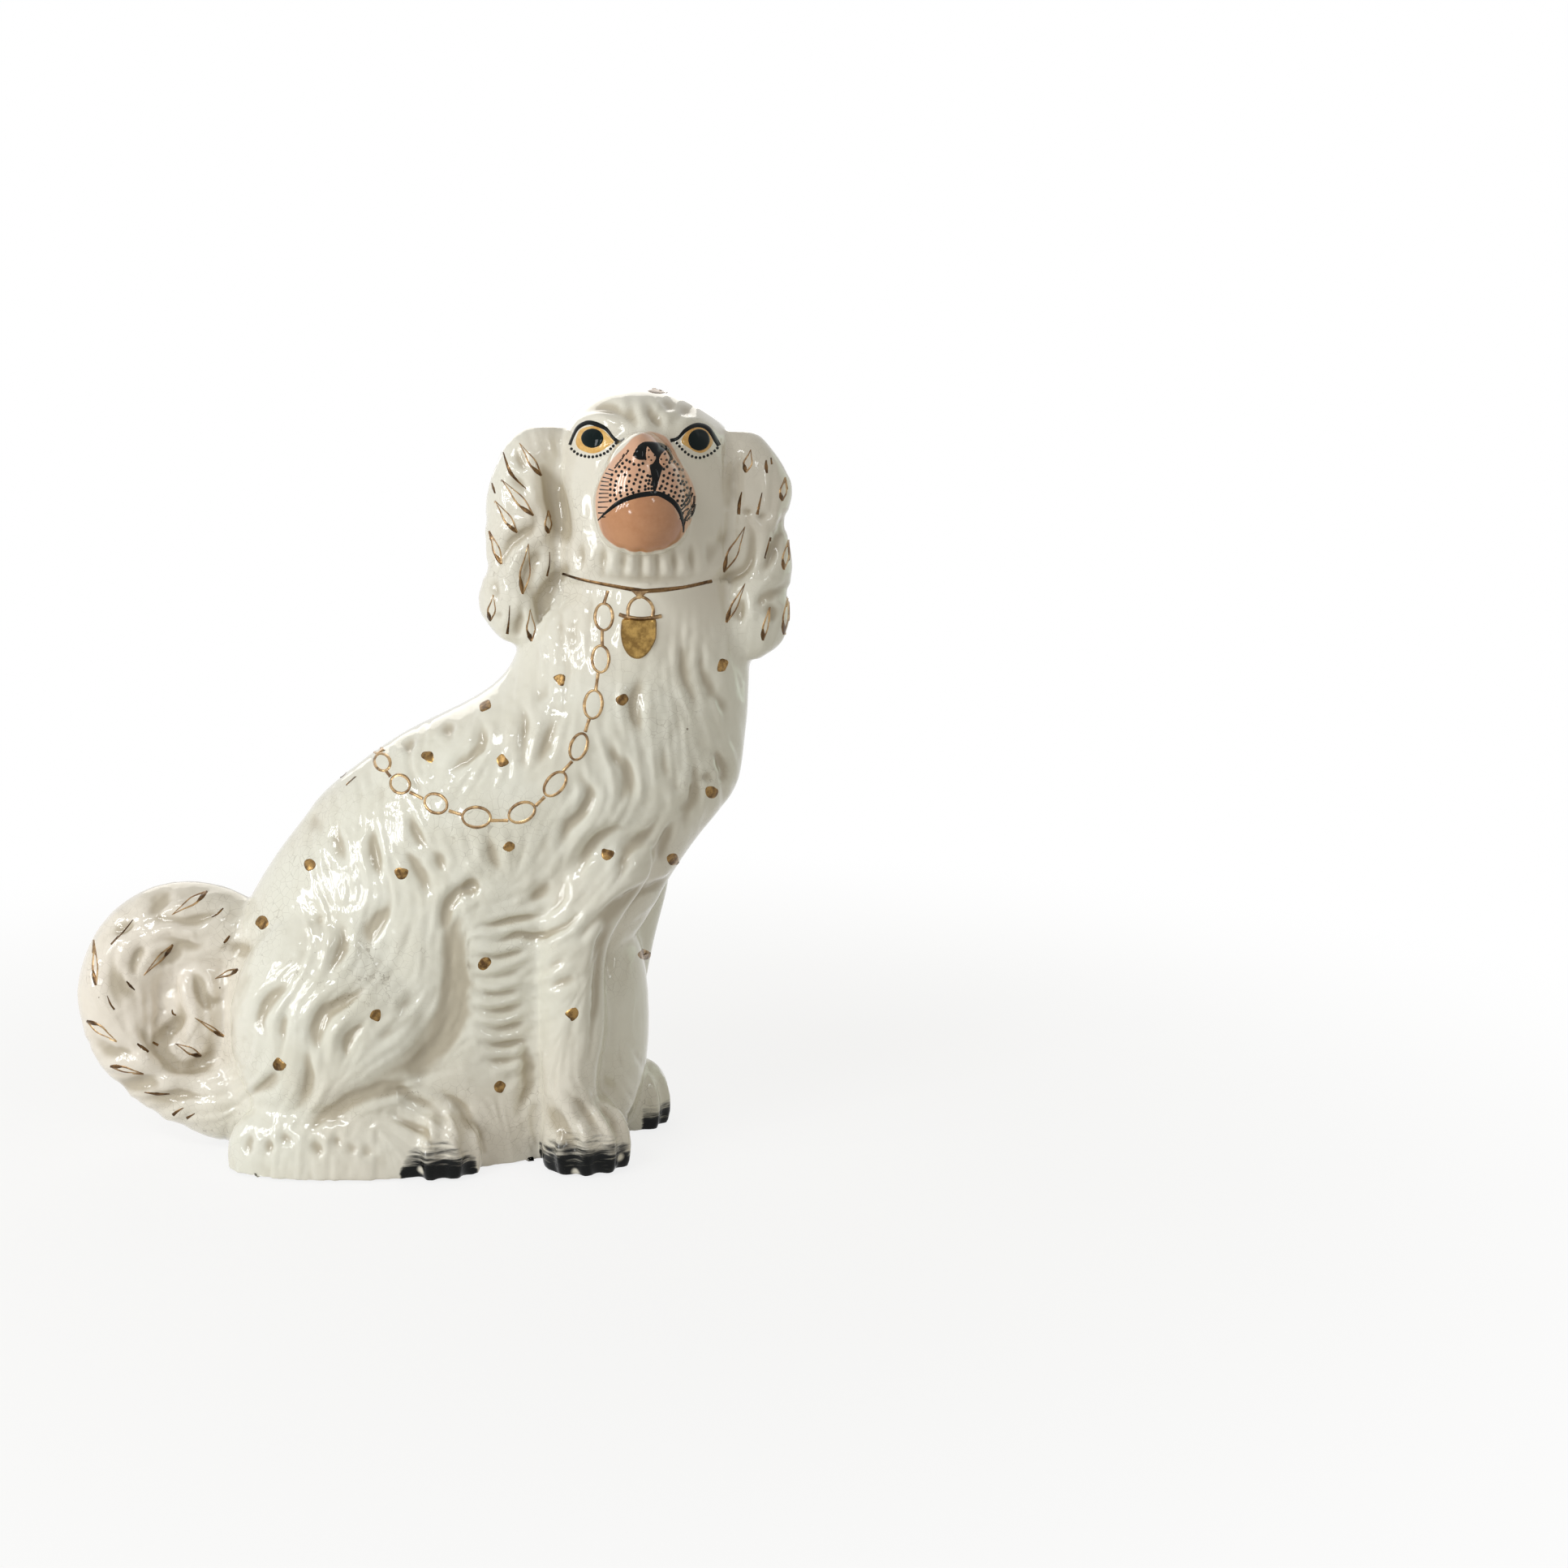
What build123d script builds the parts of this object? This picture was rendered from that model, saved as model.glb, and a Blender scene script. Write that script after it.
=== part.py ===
"""Seated pottery spaniel for a mantelpiece, with a gilt collar, padlock and chain.

The figure is hollow earthenware. Clay is pressed into moulds, and the pressings are joined with slip
before firing: two body shells and two head shells that meet on one upright seam, two forelegs, a curled
tail and a base plate with a vent. The eyes, nose, collar, padlock and chain stand proud of the glaze and
carry enamel or gold, so each is a piece of its own.

Units are millimetres. X points from the tail to the chest, Y away from the side that is shown, Z up.
The origin is on the base plate's underside, below the middle of the body.
"""

import os
from math import cos, pi, radians, sin

from build123d import *

# Body, from rump to chest and from the table to the collar.
body_length = 236
body_height = 249
body_depth = 96
rump_behind_origin = 102

# Head above the collar, and the muzzle that stands out of the face.
head_height = 81
head_width = 82
head_depth = 84
head_from_rump = 151
muzzle_width = 41
muzzle_height = 50
muzzle_depth = 46
muzzle_reach = 25
muzzle_above_collar = 12
nose_width = 18
nose_height = 12
nose_depth = 11
nose_lead = 4
nose_below_muzzle_top = 9
nose_proud = 1.2

# Ears, which hang beside the face and lie against the shoulders.
left_ear_height = 92
left_ear_width = 39
left_ear_drop = 27
left_ear_overlap = 8
right_ear_height = 97
right_ear_width = 33
right_ear_drop = 34
right_ear_overlap = 13
ear_depth = 38
ear_set_forward = 28

# Forelegs.
foreleg_height = 142
foreleg_width = 40
foreleg_depth = 36
near_leg_from_rump = 159
near_leg_stand_out = 48
far_leg_from_rump = 172
far_leg_stand_out = 42
paw_lead = 5

# Paws and toes.
paw_length = 38
paw_width = 36
paw_height = 30
toe_length = 21
toe_width = 12.5
toe_height = 36
toe_middle_height = 10
toe_proud = 2.5
toe_spread = 100
toe_count = 4
near_paw_heading = -68
far_paw_heading = 8
hind_paw_heading = -48

# Haunches and hind feet.
haunch_length = 102
haunch_height = 118
haunch_depth = 62
haunch_stand_out = 55
haunch_behind_origin = 40
hind_foot_length = 108
hind_foot_depth = 40
hind_foot_height = 36
hind_foot_behind_origin = 38
hind_paw_before_origin = 1
far_side_inset = 3

# Tail, a plume that curls up beside the rump and fills its own curl.
tail_curl_radius = 34.5
tail_plume_width = 43
tail_plume_depth = 46
tail_behind_origin = 107
tail_centre_height = 64
tail_web_depth = 30
tail_root_length = 62
tail_root_height = 44
tail_root_behind_origin = 96
tail_tip_height = 60
tail_tip_width = 30
tail_tip_depth = 42

# Shell, base plate and kiln vent.
wall = 5.5
plate_thickness = 6
vent_diameter = 4
vent_behind_origin = 30

# Eyes.
eye_width = 16
eye_height = 12
eye_spacing = 44
eye_above_collar = 58.5
eye_proud = 1.6

# Collar, staple and padlock.
collar_width = 1.8
collar_proud = 0.8
collar_end_gap = 0.3
staple_width = 4.5
staple_height = 2.2
staple_proud = 1.4
padlock_width = 14.5
padlock_height = 16.3
padlock_proud = 1.6
padlock_before_middle = 2
bar_width = 16.6
bar_height = 1.2
bar_proud = 1.6
shackle_width = 10.6
shackle_height = 6.4
shackle_wire = 1.2
shackle_proud = 1.2
gilt_gap = 0.3

# Chain.
link_length = 11
link_width = 7.2
link_wire = 1.1
link_proud = 0.9
link_pitch = 18.1
first_link_drop = 12
oval_link_count = 11
bar_link_width = 1.3
bar_link_proud = 0.8
relief_sink = 3

chain_steps = 60

rump_x = -rump_behind_origin
collar_z = body_height
head_left_x = rump_x + head_from_rump
head_middle_x = head_left_x + head_width / 2
head_near_y = -head_depth / 2
ear_near_y = head_depth / 2 - ear_set_forward - ear_depth

# Each row of these tables is one level oval: the share of the form's height, then the shares of its length
# at which the oval starts and ends, then the share of its depth that the oval takes.
body_shares = (
    (0.00, 0.016, 0.680, 0.90),
    (0.06, 0.008, 0.690, 0.93),
    (0.20, 0.002, 0.710, 0.95),
    (0.34, 0.021, 0.760, 0.96),
    (0.42, 0.050, 0.812, 0.97),
    (0.48, 0.085, 0.848, 0.98),
    (0.54, 0.128, 0.890, 0.99),
    (0.60, 0.178, 0.940, 1.00),
    (0.66, 0.238, 0.977, 0.98),
    (0.75, 0.378, 0.990, 0.92),
    (0.80, 0.485, 0.994, 0.87),
    (0.85, 0.550, 0.996, 0.82),
    (0.90, 0.575, 0.998, 0.79),
    (0.95, 0.610, 0.992, 0.78),
    (1.00, 0.645, 0.980, 0.77),
)
head_shares = (
    (0.00, 0.015, 0.970, 0.88),
    (0.06, 0.000, 0.985, 0.95),
    (0.14, 0.005, 1.000, 0.98),
    (0.30, 0.010, 1.000, 0.99),
    (0.48, 0.020, 1.000, 1.00),
    (0.66, 0.040, 0.970, 1.00),
    (0.79, 0.070, 0.905, 0.96),
    (0.87, 0.128, 0.815, 0.87),
    (0.93, 0.205, 0.715, 0.72),
    (0.975, 0.305, 0.610, 0.48),
    (1.00, 0.400, 0.520, 0.22),
)
muzzle_shares = (
    (0.00, 0.33, 0.67, 0.60),
    (0.05, 0.18, 0.82, 0.76),
    (0.14, 0.07, 0.93, 0.89),
    (0.28, 0.01, 0.99, 0.96),
    (0.46, 0.00, 1.00, 1.00),
    (0.64, 0.06, 0.95, 1.00),
    (0.78, 0.15, 0.86, 0.98),
    (0.89, 0.24, 0.77, 0.92),
    (0.96, 0.33, 0.69, 0.80),
    (1.00, 0.41, 0.61, 0.64),
)
left_ear_shares = (
    (0.00, 0.32, 0.62, 0.45),
    (0.04, 0.16, 0.80, 0.70),
    (0.12, 0.03, 0.92, 0.88),
    (0.26, 0.00, 0.97, 1.00),
    (0.40, 0.07, 0.98, 0.90),
    (0.55, 0.06, 0.99, 0.97),
    (0.72, 0.12, 1.00, 0.88),
    (0.84, 0.20, 1.00, 0.86),
    (0.93, 0.32, 1.00, 0.72),
    (0.98, 0.46, 0.96, 0.52),
    (1.00, 0.58, 0.90, 0.30),
)
right_ear_shares = (
    (0.00, 0.26, 0.58, 0.40),
    (0.05, 0.08, 0.80, 0.66),
    (0.13, 0.00, 0.94, 0.86),
    (0.26, 0.00, 0.97, 0.98),
    (0.40, 0.02, 1.00, 0.90),
    (0.60, 0.02, 0.95, 0.96),
    (0.76, 0.02, 0.99, 0.88),
    (0.88, 0.02, 0.84, 0.78),
    (0.95, 0.04, 0.68, 0.60),
    (1.00, 0.10, 0.44, 0.34),
)
near_leg_shares = (
    (0.00, 0.14, 0.88, 0.94),
    (0.12, 0.14, 0.87, 0.92),
    (0.37, 0.13, 0.85, 0.90),
    (0.55, 0.12, 0.87, 0.94),
    (0.68, 0.12, 0.92, 1.00),
    (0.80, 0.14, 1.15, 0.98),
    (0.91, 0.26, 1.38, 0.84),
    (1.00, 0.50, 1.35, 0.45),
)
far_leg_shares = (
    (0.00, 0.05, 0.85, 0.94),
    (0.12, 0.05, 0.82, 0.92),
    (0.33, 0.04, 0.79, 0.90),
    (0.49, 0.06, 0.90, 0.93),
    (0.60, 0.12, 0.98, 0.96),
    (0.72, 0.20, 1.09, 0.96),
    (0.87, 0.30, 1.16, 0.80),
    (1.00, 0.50, 1.08, 0.40),
)
paw_shares = (
    (0.00, 0.03, 0.94, 0.92),
    (0.25, 0.00, 1.00, 1.00),
    (0.58, 0.00, 1.00, 0.94),
    (0.84, 0.08, 0.93, 0.74),
    (1.00, 0.22, 0.78, 0.46),
)
hind_foot_shares = (
    (0.00, 0.00, 0.96, 1.00),
    (0.25, 0.00, 1.00, 1.00),
    (0.52, 0.03, 0.97, 0.92),
    (0.76, 0.12, 0.86, 0.74),
    (0.92, 0.24, 0.70, 0.50),
    (1.00, 0.36, 0.56, 0.26),
)

# The plume's turn in degrees round its curl, then the shares of its curl radius, width and depth there.
tail_turn_shares = (
    (-66, 1.38, 0.74, 0.78),
    (-92, 1.16, 0.88, 0.90),
    (-125, 1.00, 0.97, 0.98),
    (-165, 1.00, 1.00, 1.00),
    (-205, 1.04, 1.00, 0.98),
    (-240, 1.04, 0.98, 0.94),
    (-275, 0.98, 0.90, 0.86),
    (-310, 0.96, 0.68, 0.70),
)

# The chain's line: the share of the body's height, and the share of a half turn from the chest to the back.
chain_shares = (
    (0.992, 0.643),
    (0.948, 0.618),
    (0.879, 0.589),
    (0.806, 0.534),
    (0.737, 0.457),
    (0.676, 0.441),
    (0.630, 0.473),
    (0.622, 0.587),
    (0.642, 0.711),
    (0.669, 0.818),
    (0.699, 0.897),
    (0.714, 0.969),
    (0.718, 1.000),
)


def stacked_form(level_shares, left_x, near_y, low_z, length, depth, height):
    """A closed form lofted through level ovals that are given as shares of its length, depth and height."""
    middle_y = near_y + depth / 2
    with BuildPart() as form:
        for up, start, end, deep in level_shares:
            middle_x = left_x + length * (start + end) / 2
            with BuildSketch(Plane((middle_x, middle_y, low_z + height * up))):
                Ellipse(length * (end - start) / 2, depth * deep / 2)
        loft()
    return form.part


def egg(length, depth, height):
    """An egg-like swelling round the origin with the given full sizes."""
    with BuildPart() as swelling:
        Sphere(1)
        scale(by=(length / 2, depth / 2, height / 2))
    return swelling.part


def toes(middle_x, middle_y, heading):
    """The toes of one paw, fanned about the way that the paw points."""
    reach = (paw_length - toe_length) / 2 + toe_proud
    first_toe = heading - toe_spread / 2
    with BuildPart() as fan:
        with Locations((middle_x, middle_y, toe_middle_height)):
            with PolarLocations(reach, toe_count, first_toe, toe_spread, endpoint=True):
                add(egg(toe_length, toe_width, toe_height))
        split(bisect_by=Plane.XY, keep=Keep.TOP)
    return fan.part


def foreleg(level_shares, left_x, near_y, paw_x, paw_y, heading):
    """One foreleg with its paw and toes."""
    leg = stacked_form(level_shares, left_x, near_y, 0, foreleg_width, foreleg_depth, foreleg_height)
    paw = stacked_form(paw_shares, -paw_length / 2, -paw_width / 2, 0, paw_length, paw_width, paw_height)
    with BuildPart() as limb:
        add(leg)
        with Locations(Location((paw_x, paw_y, 0), (0, 0, heading))):
            add(paw)
        add(toes(paw_x, paw_y, heading))
    return limb.part


def haunch(side):
    """The thigh, hind foot and toes of one side: side is -1 on the shown side and 1 on the hidden one."""
    inset = far_side_inset if side > 0 else 0
    outer_y = side * (haunch_stand_out - inset)
    foot_y = outer_y - side * hind_foot_depth / 2
    foot_left = -hind_foot_behind_origin - hind_foot_length / 2
    foot = stacked_form(
        hind_foot_shares, foot_left, foot_y - hind_foot_depth / 2, 0, hind_foot_length, hind_foot_depth,
        hind_foot_height,
    )
    with BuildPart() as thigh:
        with Locations((-haunch_behind_origin, outer_y - side * haunch_depth / 2, haunch_height / 2)):
            add(egg(haunch_length, haunch_depth, haunch_height))
        add(foot)
        add(toes(hind_paw_before_origin, foot_y, side * -hind_paw_heading))
    return thigh.part


def surface_point(solid, x, z):
    """Where a line along Y enters the shown side of a solid, with the way that the surface faces there."""
    return solid.find_intersection_points(Axis((x, -2 * body_depth, z), (0, 1, 0)))[0]


def eye_form(side):
    """One eye where it lies on the face: side is -1 on the left and 1 on the right."""
    face, outward = surface_point(head, head_middle_x + side * eye_spacing / 2, collar_z + eye_above_collar)
    with BuildPart() as bulge:
        with Locations(Plane(face, x_dir=outward.cross(Vector(0, 0, 1)), z_dir=outward)):
            add(egg(eye_width, eye_height, eye_proud * 2))
    return bulge.part


# Outer forms
torso = stacked_form(body_shares, rump_x, -body_depth / 2, 0, body_length, body_depth, body_height)
with BuildPart() as body_form:
    add(torso)
    add(haunch(-1))
    add(haunch(1))

head = stacked_form(head_shares, head_left_x, head_near_y, collar_z, head_width, head_depth, head_height)
muzzle = stacked_form(
    muzzle_shares, head_middle_x - muzzle_width / 2, head_near_y - muzzle_reach,
    collar_z + muzzle_above_collar, muzzle_width, muzzle_depth, muzzle_height,
)
left_ear = stacked_form(
    left_ear_shares, head_left_x + left_ear_overlap - left_ear_width, ear_near_y, collar_z - left_ear_drop,
    left_ear_width, ear_depth, left_ear_height,
)
right_ear = stacked_form(
    right_ear_shares, head_left_x + head_width - right_ear_overlap, ear_near_y, collar_z - right_ear_drop,
    right_ear_width, ear_depth, right_ear_height,
)
with BuildPart() as head_form:
    add(head)
    add(muzzle)
    add(left_ear)
    add(right_ear)
    add(body_form.part, mode=Mode.SUBTRACT)

# Inside of the hollow body and head
with BuildPart() as body_hollow:
    for up, start, end, deep in body_shares:
        middle_x = rump_x + body_length * (start + end) / 2
        with BuildSketch(Plane((middle_x, 0, body_height * up))):
            Ellipse(body_length * (end - start) / 2 - wall, body_depth * deep / 2 - wall)
    loft()
with BuildPart() as head_hollow:
    for up, start, end, deep in head_shares[:-2]:
        middle_x = head_left_x + head_width * (start + end) / 2
        with BuildSketch(Plane((middle_x, 0, collar_z + head_height * up))):
            Ellipse(head_width * (end - start) / 2 - wall, head_depth * deep / 2 - wall)
    loft()

# Body shells
with BuildPart() as body_wall:
    add(body_form.part)
    add(body_hollow.part, mode=Mode.SUBTRACT)
with BuildPart() as body_front_shell:
    add(body_wall.part)
    split(bisect_by=Plane.XZ, keep=Keep.TOP)
with BuildPart() as body_back_shell:
    add(body_wall.part)
    split(bisect_by=Plane.XZ, keep=Keep.BOTTOM)

# Head shells
with BuildPart() as head_wall:
    add(head_form.part)
    add(head_hollow.part, mode=Mode.SUBTRACT)
with BuildPart() as head_front_shell:
    add(head_wall.part)
    split(bisect_by=Plane.XZ, keep=Keep.TOP)
with BuildPart() as head_back_shell:
    add(head_wall.part)
    split(bisect_by=Plane.XZ, keep=Keep.BOTTOM)

# Forelegs
near_leg = foreleg(
    near_leg_shares, rump_x + near_leg_from_rump - foreleg_width / 2, -near_leg_stand_out,
    rump_x + near_leg_from_rump + paw_lead, -near_leg_stand_out + foreleg_depth / 2, near_paw_heading,
)
with BuildPart() as near_foreleg:
    add(near_leg)
    add(body_form.part, mode=Mode.SUBTRACT)
far_leg = foreleg(
    far_leg_shares, rump_x + far_leg_from_rump - foreleg_width / 2, far_leg_stand_out - foreleg_depth,
    rump_x + far_leg_from_rump + paw_lead, far_leg_stand_out - foreleg_depth / 2, far_paw_heading,
)
with BuildPart() as far_foreleg:
    add(far_leg)
    add(body_form.part, mode=Mode.SUBTRACT)

# Tail
with BuildPart() as plume:
    for turn, reach, wide, deep in tail_turn_shares:
        out = Vector(cos(radians(turn)), 0, sin(radians(turn)))
        along = Vector(sin(radians(turn)), 0, -cos(radians(turn)))
        centre = Vector(-tail_behind_origin, 0, tail_centre_height) + out * tail_curl_radius * reach
        with BuildSketch(Plane(centre, x_dir=out, z_dir=along)):
            Ellipse(tail_plume_width * wide / 2, tail_plume_depth * deep / 2)
    loft()
with BuildPart() as tail:
    add(plume.part)
    with Locations((-tail_behind_origin, 0, tail_centre_height)):
        add(egg(tail_curl_radius * 2, tail_web_depth, tail_curl_radius * 2))
        add(egg(tail_tip_width, tail_tip_depth, tail_tip_height))
    with Locations((-tail_root_behind_origin, 0, tail_root_height / 2)):
        add(egg(tail_root_length, tail_plume_depth, tail_root_height))
    split(bisect_by=Plane.XY, keep=Keep.TOP)
    add(body_form.part, mode=Mode.SUBTRACT)

# Base plate
with BuildPart() as base_plate:
    add(body_hollow.part)
    split(bisect_by=Plane.XY.offset(plate_thickness), keep=Keep.BOTTOM)
    with Locations((-vent_behind_origin, 0, plate_thickness)):
        Hole(vent_diameter / 2)

# Eyes and nose
with BuildPart() as left_eye:
    add(eye_form(-1))
    add(head_form.part, mode=Mode.SUBTRACT)
with BuildPart() as right_eye:
    add(eye_form(1))
    add(head_form.part, mode=Mode.SUBTRACT)
nose_z = collar_z + muzzle_above_collar + muzzle_height - nose_below_muzzle_top
nose_tip, nose_out = surface_point(muzzle, head_middle_x + nose_lead, nose_z)
with BuildPart() as nose:
    with Locations(nose_tip + Vector(0, nose_depth / 2 - nose_proud, 0)):
        add(egg(nose_width, nose_depth, nose_height))
    add(head_form.part, mode=Mode.SUBTRACT)

# Collar line, from ear to ear round the front of the neck
neck_share = body_shares[-1]
neck_x = rump_x + body_length * (neck_share[1] + neck_share[2]) / 2
neck_half_length = body_length * (neck_share[2] - neck_share[1]) / 2
neck_half_depth = body_depth * neck_share[3] / 2
collar_left_x = head_left_x + left_ear_overlap + collar_end_gap
collar_right_x = head_left_x + head_width - right_ear_overlap - collar_end_gap
with BuildPart() as collar:
    with BuildSketch(Plane((neck_x, 0, collar_z - collar_width))):
        Ellipse(neck_half_length + collar_proud, neck_half_depth + collar_proud)
        Ellipse(neck_half_length - wall / 2, neck_half_depth - wall / 2, mode=Mode.SUBTRACT)
    extrude(amount=collar_width)
    split(bisect_by=Plane.XZ, keep=Keep.TOP)
    split(bisect_by=Plane.YZ.offset(collar_left_x), keep=Keep.TOP)
    split(bisect_by=Plane.YZ.offset(collar_right_x), keep=Keep.BOTTOM)
    add(torso, mode=Mode.SUBTRACT)

# Padlock, hung from a staple under the collar
padlock_x = neck_x - padlock_before_middle
staple_z = collar_z - collar_width - gilt_gap - staple_height / 2
shackle_top = staple_z - staple_height / 2 - gilt_gap
bar_z = shackle_top - shackle_height - gilt_gap - bar_height / 2
lock_top = bar_z - bar_height / 2 - gilt_gap
lock_face = surface_point(torso, padlock_x, lock_top - padlock_height / 2)[0]
lock_plane = Plane((padlock_x, lock_face.Y, 0), x_dir=(1, 0, 0), z_dir=(0, -1, 0))
with BuildPart() as collar_staple:
    with BuildSketch(lock_plane.offset(-relief_sink)):
        with Locations((0, staple_z)):
            Ellipse(staple_width / 2, staple_height / 2)
    extrude(amount=relief_sink + staple_proud)
    add(torso, mode=Mode.SUBTRACT)
with BuildPart() as padlock_shackle:
    with BuildSketch(lock_plane.offset(-relief_sink)):
        with Locations((0, shackle_top - shackle_height)):
            Ellipse(shackle_width / 2, shackle_height)
            Ellipse(shackle_width / 2 - shackle_wire, shackle_height - shackle_wire, mode=Mode.SUBTRACT)
        split(bisect_by=Plane.XZ.offset(shackle_height - shackle_top), keep=Keep.BOTTOM)
    extrude(amount=relief_sink + shackle_proud)
    add(torso, mode=Mode.SUBTRACT)
with BuildPart() as padlock_bar:
    with BuildSketch(lock_plane.offset(-relief_sink)):
        with Locations((0, bar_z)):
            SlotOverall(bar_width, bar_height)
    extrude(amount=relief_sink + bar_proud)
    add(torso, mode=Mode.SUBTRACT)
with BuildPart() as padlock_body:
    with BuildSketch(lock_plane.offset(-relief_sink)):
        with BuildLine():
            Line((padlock_width / 2, lock_top - padlock_height / 2), (padlock_width / 2, lock_top))
            Line((padlock_width / 2, lock_top), (-padlock_width / 2, lock_top))
            Line((-padlock_width / 2, lock_top), (-padlock_width / 2, lock_top - padlock_height / 2))
            ThreePointArc(
                (-padlock_width / 2, lock_top - padlock_height / 2), (0, lock_top - padlock_height),
                (padlock_width / 2, lock_top - padlock_height / 2),
            )
        make_face()
    extrude(amount=relief_sink + padlock_proud)
    add(torso, mode=Mode.SUBTRACT)


def flank_point(up, half_turns):
    """Where the torso's surface lies at a share of its height and a turn round its level oval."""
    above = next(index for index, row in enumerate(body_shares) if row[0] >= up)
    low, high = body_shares[above - 1], body_shares[above]
    share = (up - low[0]) / (high[0] - low[0])
    middle = (low[1] + low[2] + (high[1] + high[2] - low[1] - low[2]) * share) / 2
    out = Vector(cos(pi * half_turns), -sin(pi * half_turns), 0)
    start = Vector(rump_x + body_length * middle, 0, body_height * up) + out * body_length
    return torso.find_intersection_points(Axis(start, -out))[0]


# Chain, laid on the flank at an even pitch
with BuildLine() as chain_line:
    Spline([(half_turns, up) for up, half_turns in chain_shares])
chain_points = []
for step in range(chain_steps + 1):
    spot = chain_line.line @ (step / chain_steps)
    foot, outward = flank_point(spot.Y, spot.X)
    run = chain_points[-1][2] + (foot - chain_points[-1][0]).length if chain_points else 0
    chain_points.append((foot, outward, run))


def chain_plane(run):
    """The plane that lies on the flank at a distance along the chain, with its own x along the chain."""
    after = next(index for index, point in enumerate(chain_points) if point[2] >= run)
    behind, ahead = chain_points[after - 1], chain_points[after]
    share = (run - behind[2]) / (ahead[2] - behind[2])
    place = behind[0] + (ahead[0] - behind[0]) * share
    outward = behind[1] + (ahead[1] - behind[1]) * share
    tangent = ahead[0] - behind[0]
    across = outward.cross(tangent)
    return Plane(place, x_dir=across.cross(outward), z_dir=outward)


with BuildPart() as chain_oval_links:
    for number in range(oval_link_count):
        with BuildSketch(chain_plane(first_link_drop + link_pitch * number).offset(-relief_sink)):
            Ellipse(link_length / 2, link_width / 2)
            Ellipse(link_length / 2 - link_wire, link_width / 2 - link_wire, mode=Mode.SUBTRACT)
        extrude(amount=relief_sink + link_proud)
    add(torso, mode=Mode.SUBTRACT)
with BuildPart() as chain_bar_links:
    for number in range(oval_link_count - 1):
        with BuildSketch(chain_plane(first_link_drop + link_pitch * (number + 1 / 2)).offset(-relief_sink)):
            Rectangle(link_pitch - link_length - 2 * gilt_gap, bar_link_width)
        extrude(amount=relief_sink + bar_link_proud)
    add(torso, mode=Mode.SUBTRACT)

# Files
os.makedirs("parts", exist_ok=True)
body_front_shell.part.label = "body_front_shell"
export_step(body_front_shell.part, "parts/body_front_shell.step")
body_back_shell.part.label = "body_back_shell"
export_step(body_back_shell.part, "parts/body_back_shell.step")
head_front_shell.part.label = "head_front_shell"
export_step(head_front_shell.part, "parts/head_front_shell.step")
head_back_shell.part.label = "head_back_shell"
export_step(head_back_shell.part, "parts/head_back_shell.step")
near_foreleg.part.label = "near_foreleg"
export_step(near_foreleg.part, "parts/near_foreleg.step")
far_foreleg.part.label = "far_foreleg"
export_step(far_foreleg.part, "parts/far_foreleg.step")
tail.part.label = "tail"
export_step(tail.part, "parts/tail.step")
base_plate.part.label = "base_plate"
export_step(base_plate.part, "parts/base_plate.step")
left_eye.part.label = "left_eye"
export_step(left_eye.part, "parts/left_eye.step")
right_eye.part.label = "right_eye"
export_step(right_eye.part, "parts/right_eye.step")
nose.part.label = "nose"
export_step(nose.part, "parts/nose.step")
collar.part.label = "collar"
export_step(collar.part, "parts/collar.step")
collar_staple.part.label = "collar_staple"
export_step(collar_staple.part, "parts/collar_staple.step")
padlock_shackle.part.label = "padlock_shackle"
export_step(padlock_shackle.part, "parts/padlock_shackle.step")
padlock_bar.part.label = "padlock_bar"
export_step(padlock_bar.part, "parts/padlock_bar.step")
padlock_body.part.label = "padlock_body"
export_step(padlock_body.part, "parts/padlock_body.step")
chain_oval_links.part.label = "chain_oval_links"
export_step(chain_oval_links.part, "parts/chain_oval_links.step")
chain_bar_links.part.label = "chain_bar_links"
export_step(chain_bar_links.part, "parts/chain_bar_links.step")
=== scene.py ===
"""A seated spaniel mantel figure: its glazed skin with moulded fur, its gilding and its enamels."""
import math

import bpy
import numpy as np
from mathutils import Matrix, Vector
from mathutils.bvhtree import BVHTree


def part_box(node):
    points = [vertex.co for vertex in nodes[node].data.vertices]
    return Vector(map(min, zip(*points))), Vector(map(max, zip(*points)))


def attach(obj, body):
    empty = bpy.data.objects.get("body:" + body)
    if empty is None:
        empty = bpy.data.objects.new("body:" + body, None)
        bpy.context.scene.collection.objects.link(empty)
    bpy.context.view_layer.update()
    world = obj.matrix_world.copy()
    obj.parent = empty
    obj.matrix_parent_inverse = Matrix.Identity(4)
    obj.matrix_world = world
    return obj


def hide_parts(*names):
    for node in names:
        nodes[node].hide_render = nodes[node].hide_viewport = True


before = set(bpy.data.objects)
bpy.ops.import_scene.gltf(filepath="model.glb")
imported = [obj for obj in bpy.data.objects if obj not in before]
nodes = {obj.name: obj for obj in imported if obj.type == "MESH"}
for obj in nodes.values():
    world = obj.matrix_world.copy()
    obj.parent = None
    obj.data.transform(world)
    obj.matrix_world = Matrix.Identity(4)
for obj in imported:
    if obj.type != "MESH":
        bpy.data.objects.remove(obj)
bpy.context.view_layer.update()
millimetre = 0.001

# Where the photograph was taken from: the place in metres, the dip below level, and the lens in pixels
camera_place = Vector((0.147, -0.850, 0.300))
camera_dip = math.radians(9.3)
figure_distance = 0.86
photo_side = 1932
focal_pixels = 2450
sensor_width = 36

# The glazed skin: its mesh, its softening, and how far it lies inside the CAD pieces
voxel = 0.95 * millimetre
skin_inset = 0.9 * millimetre
lowest_glaze = 0.85 * millimetre
smooth_factor = 0.5
soften_rounds = 14
crease_bend = 0.045 * millimetre
crease_rings = 3
crease_rounds = 26
clay_wall = 1.2 * millimetre
inner_wall_share = 0.14
same_place = 0.001 * millimetre

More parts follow.
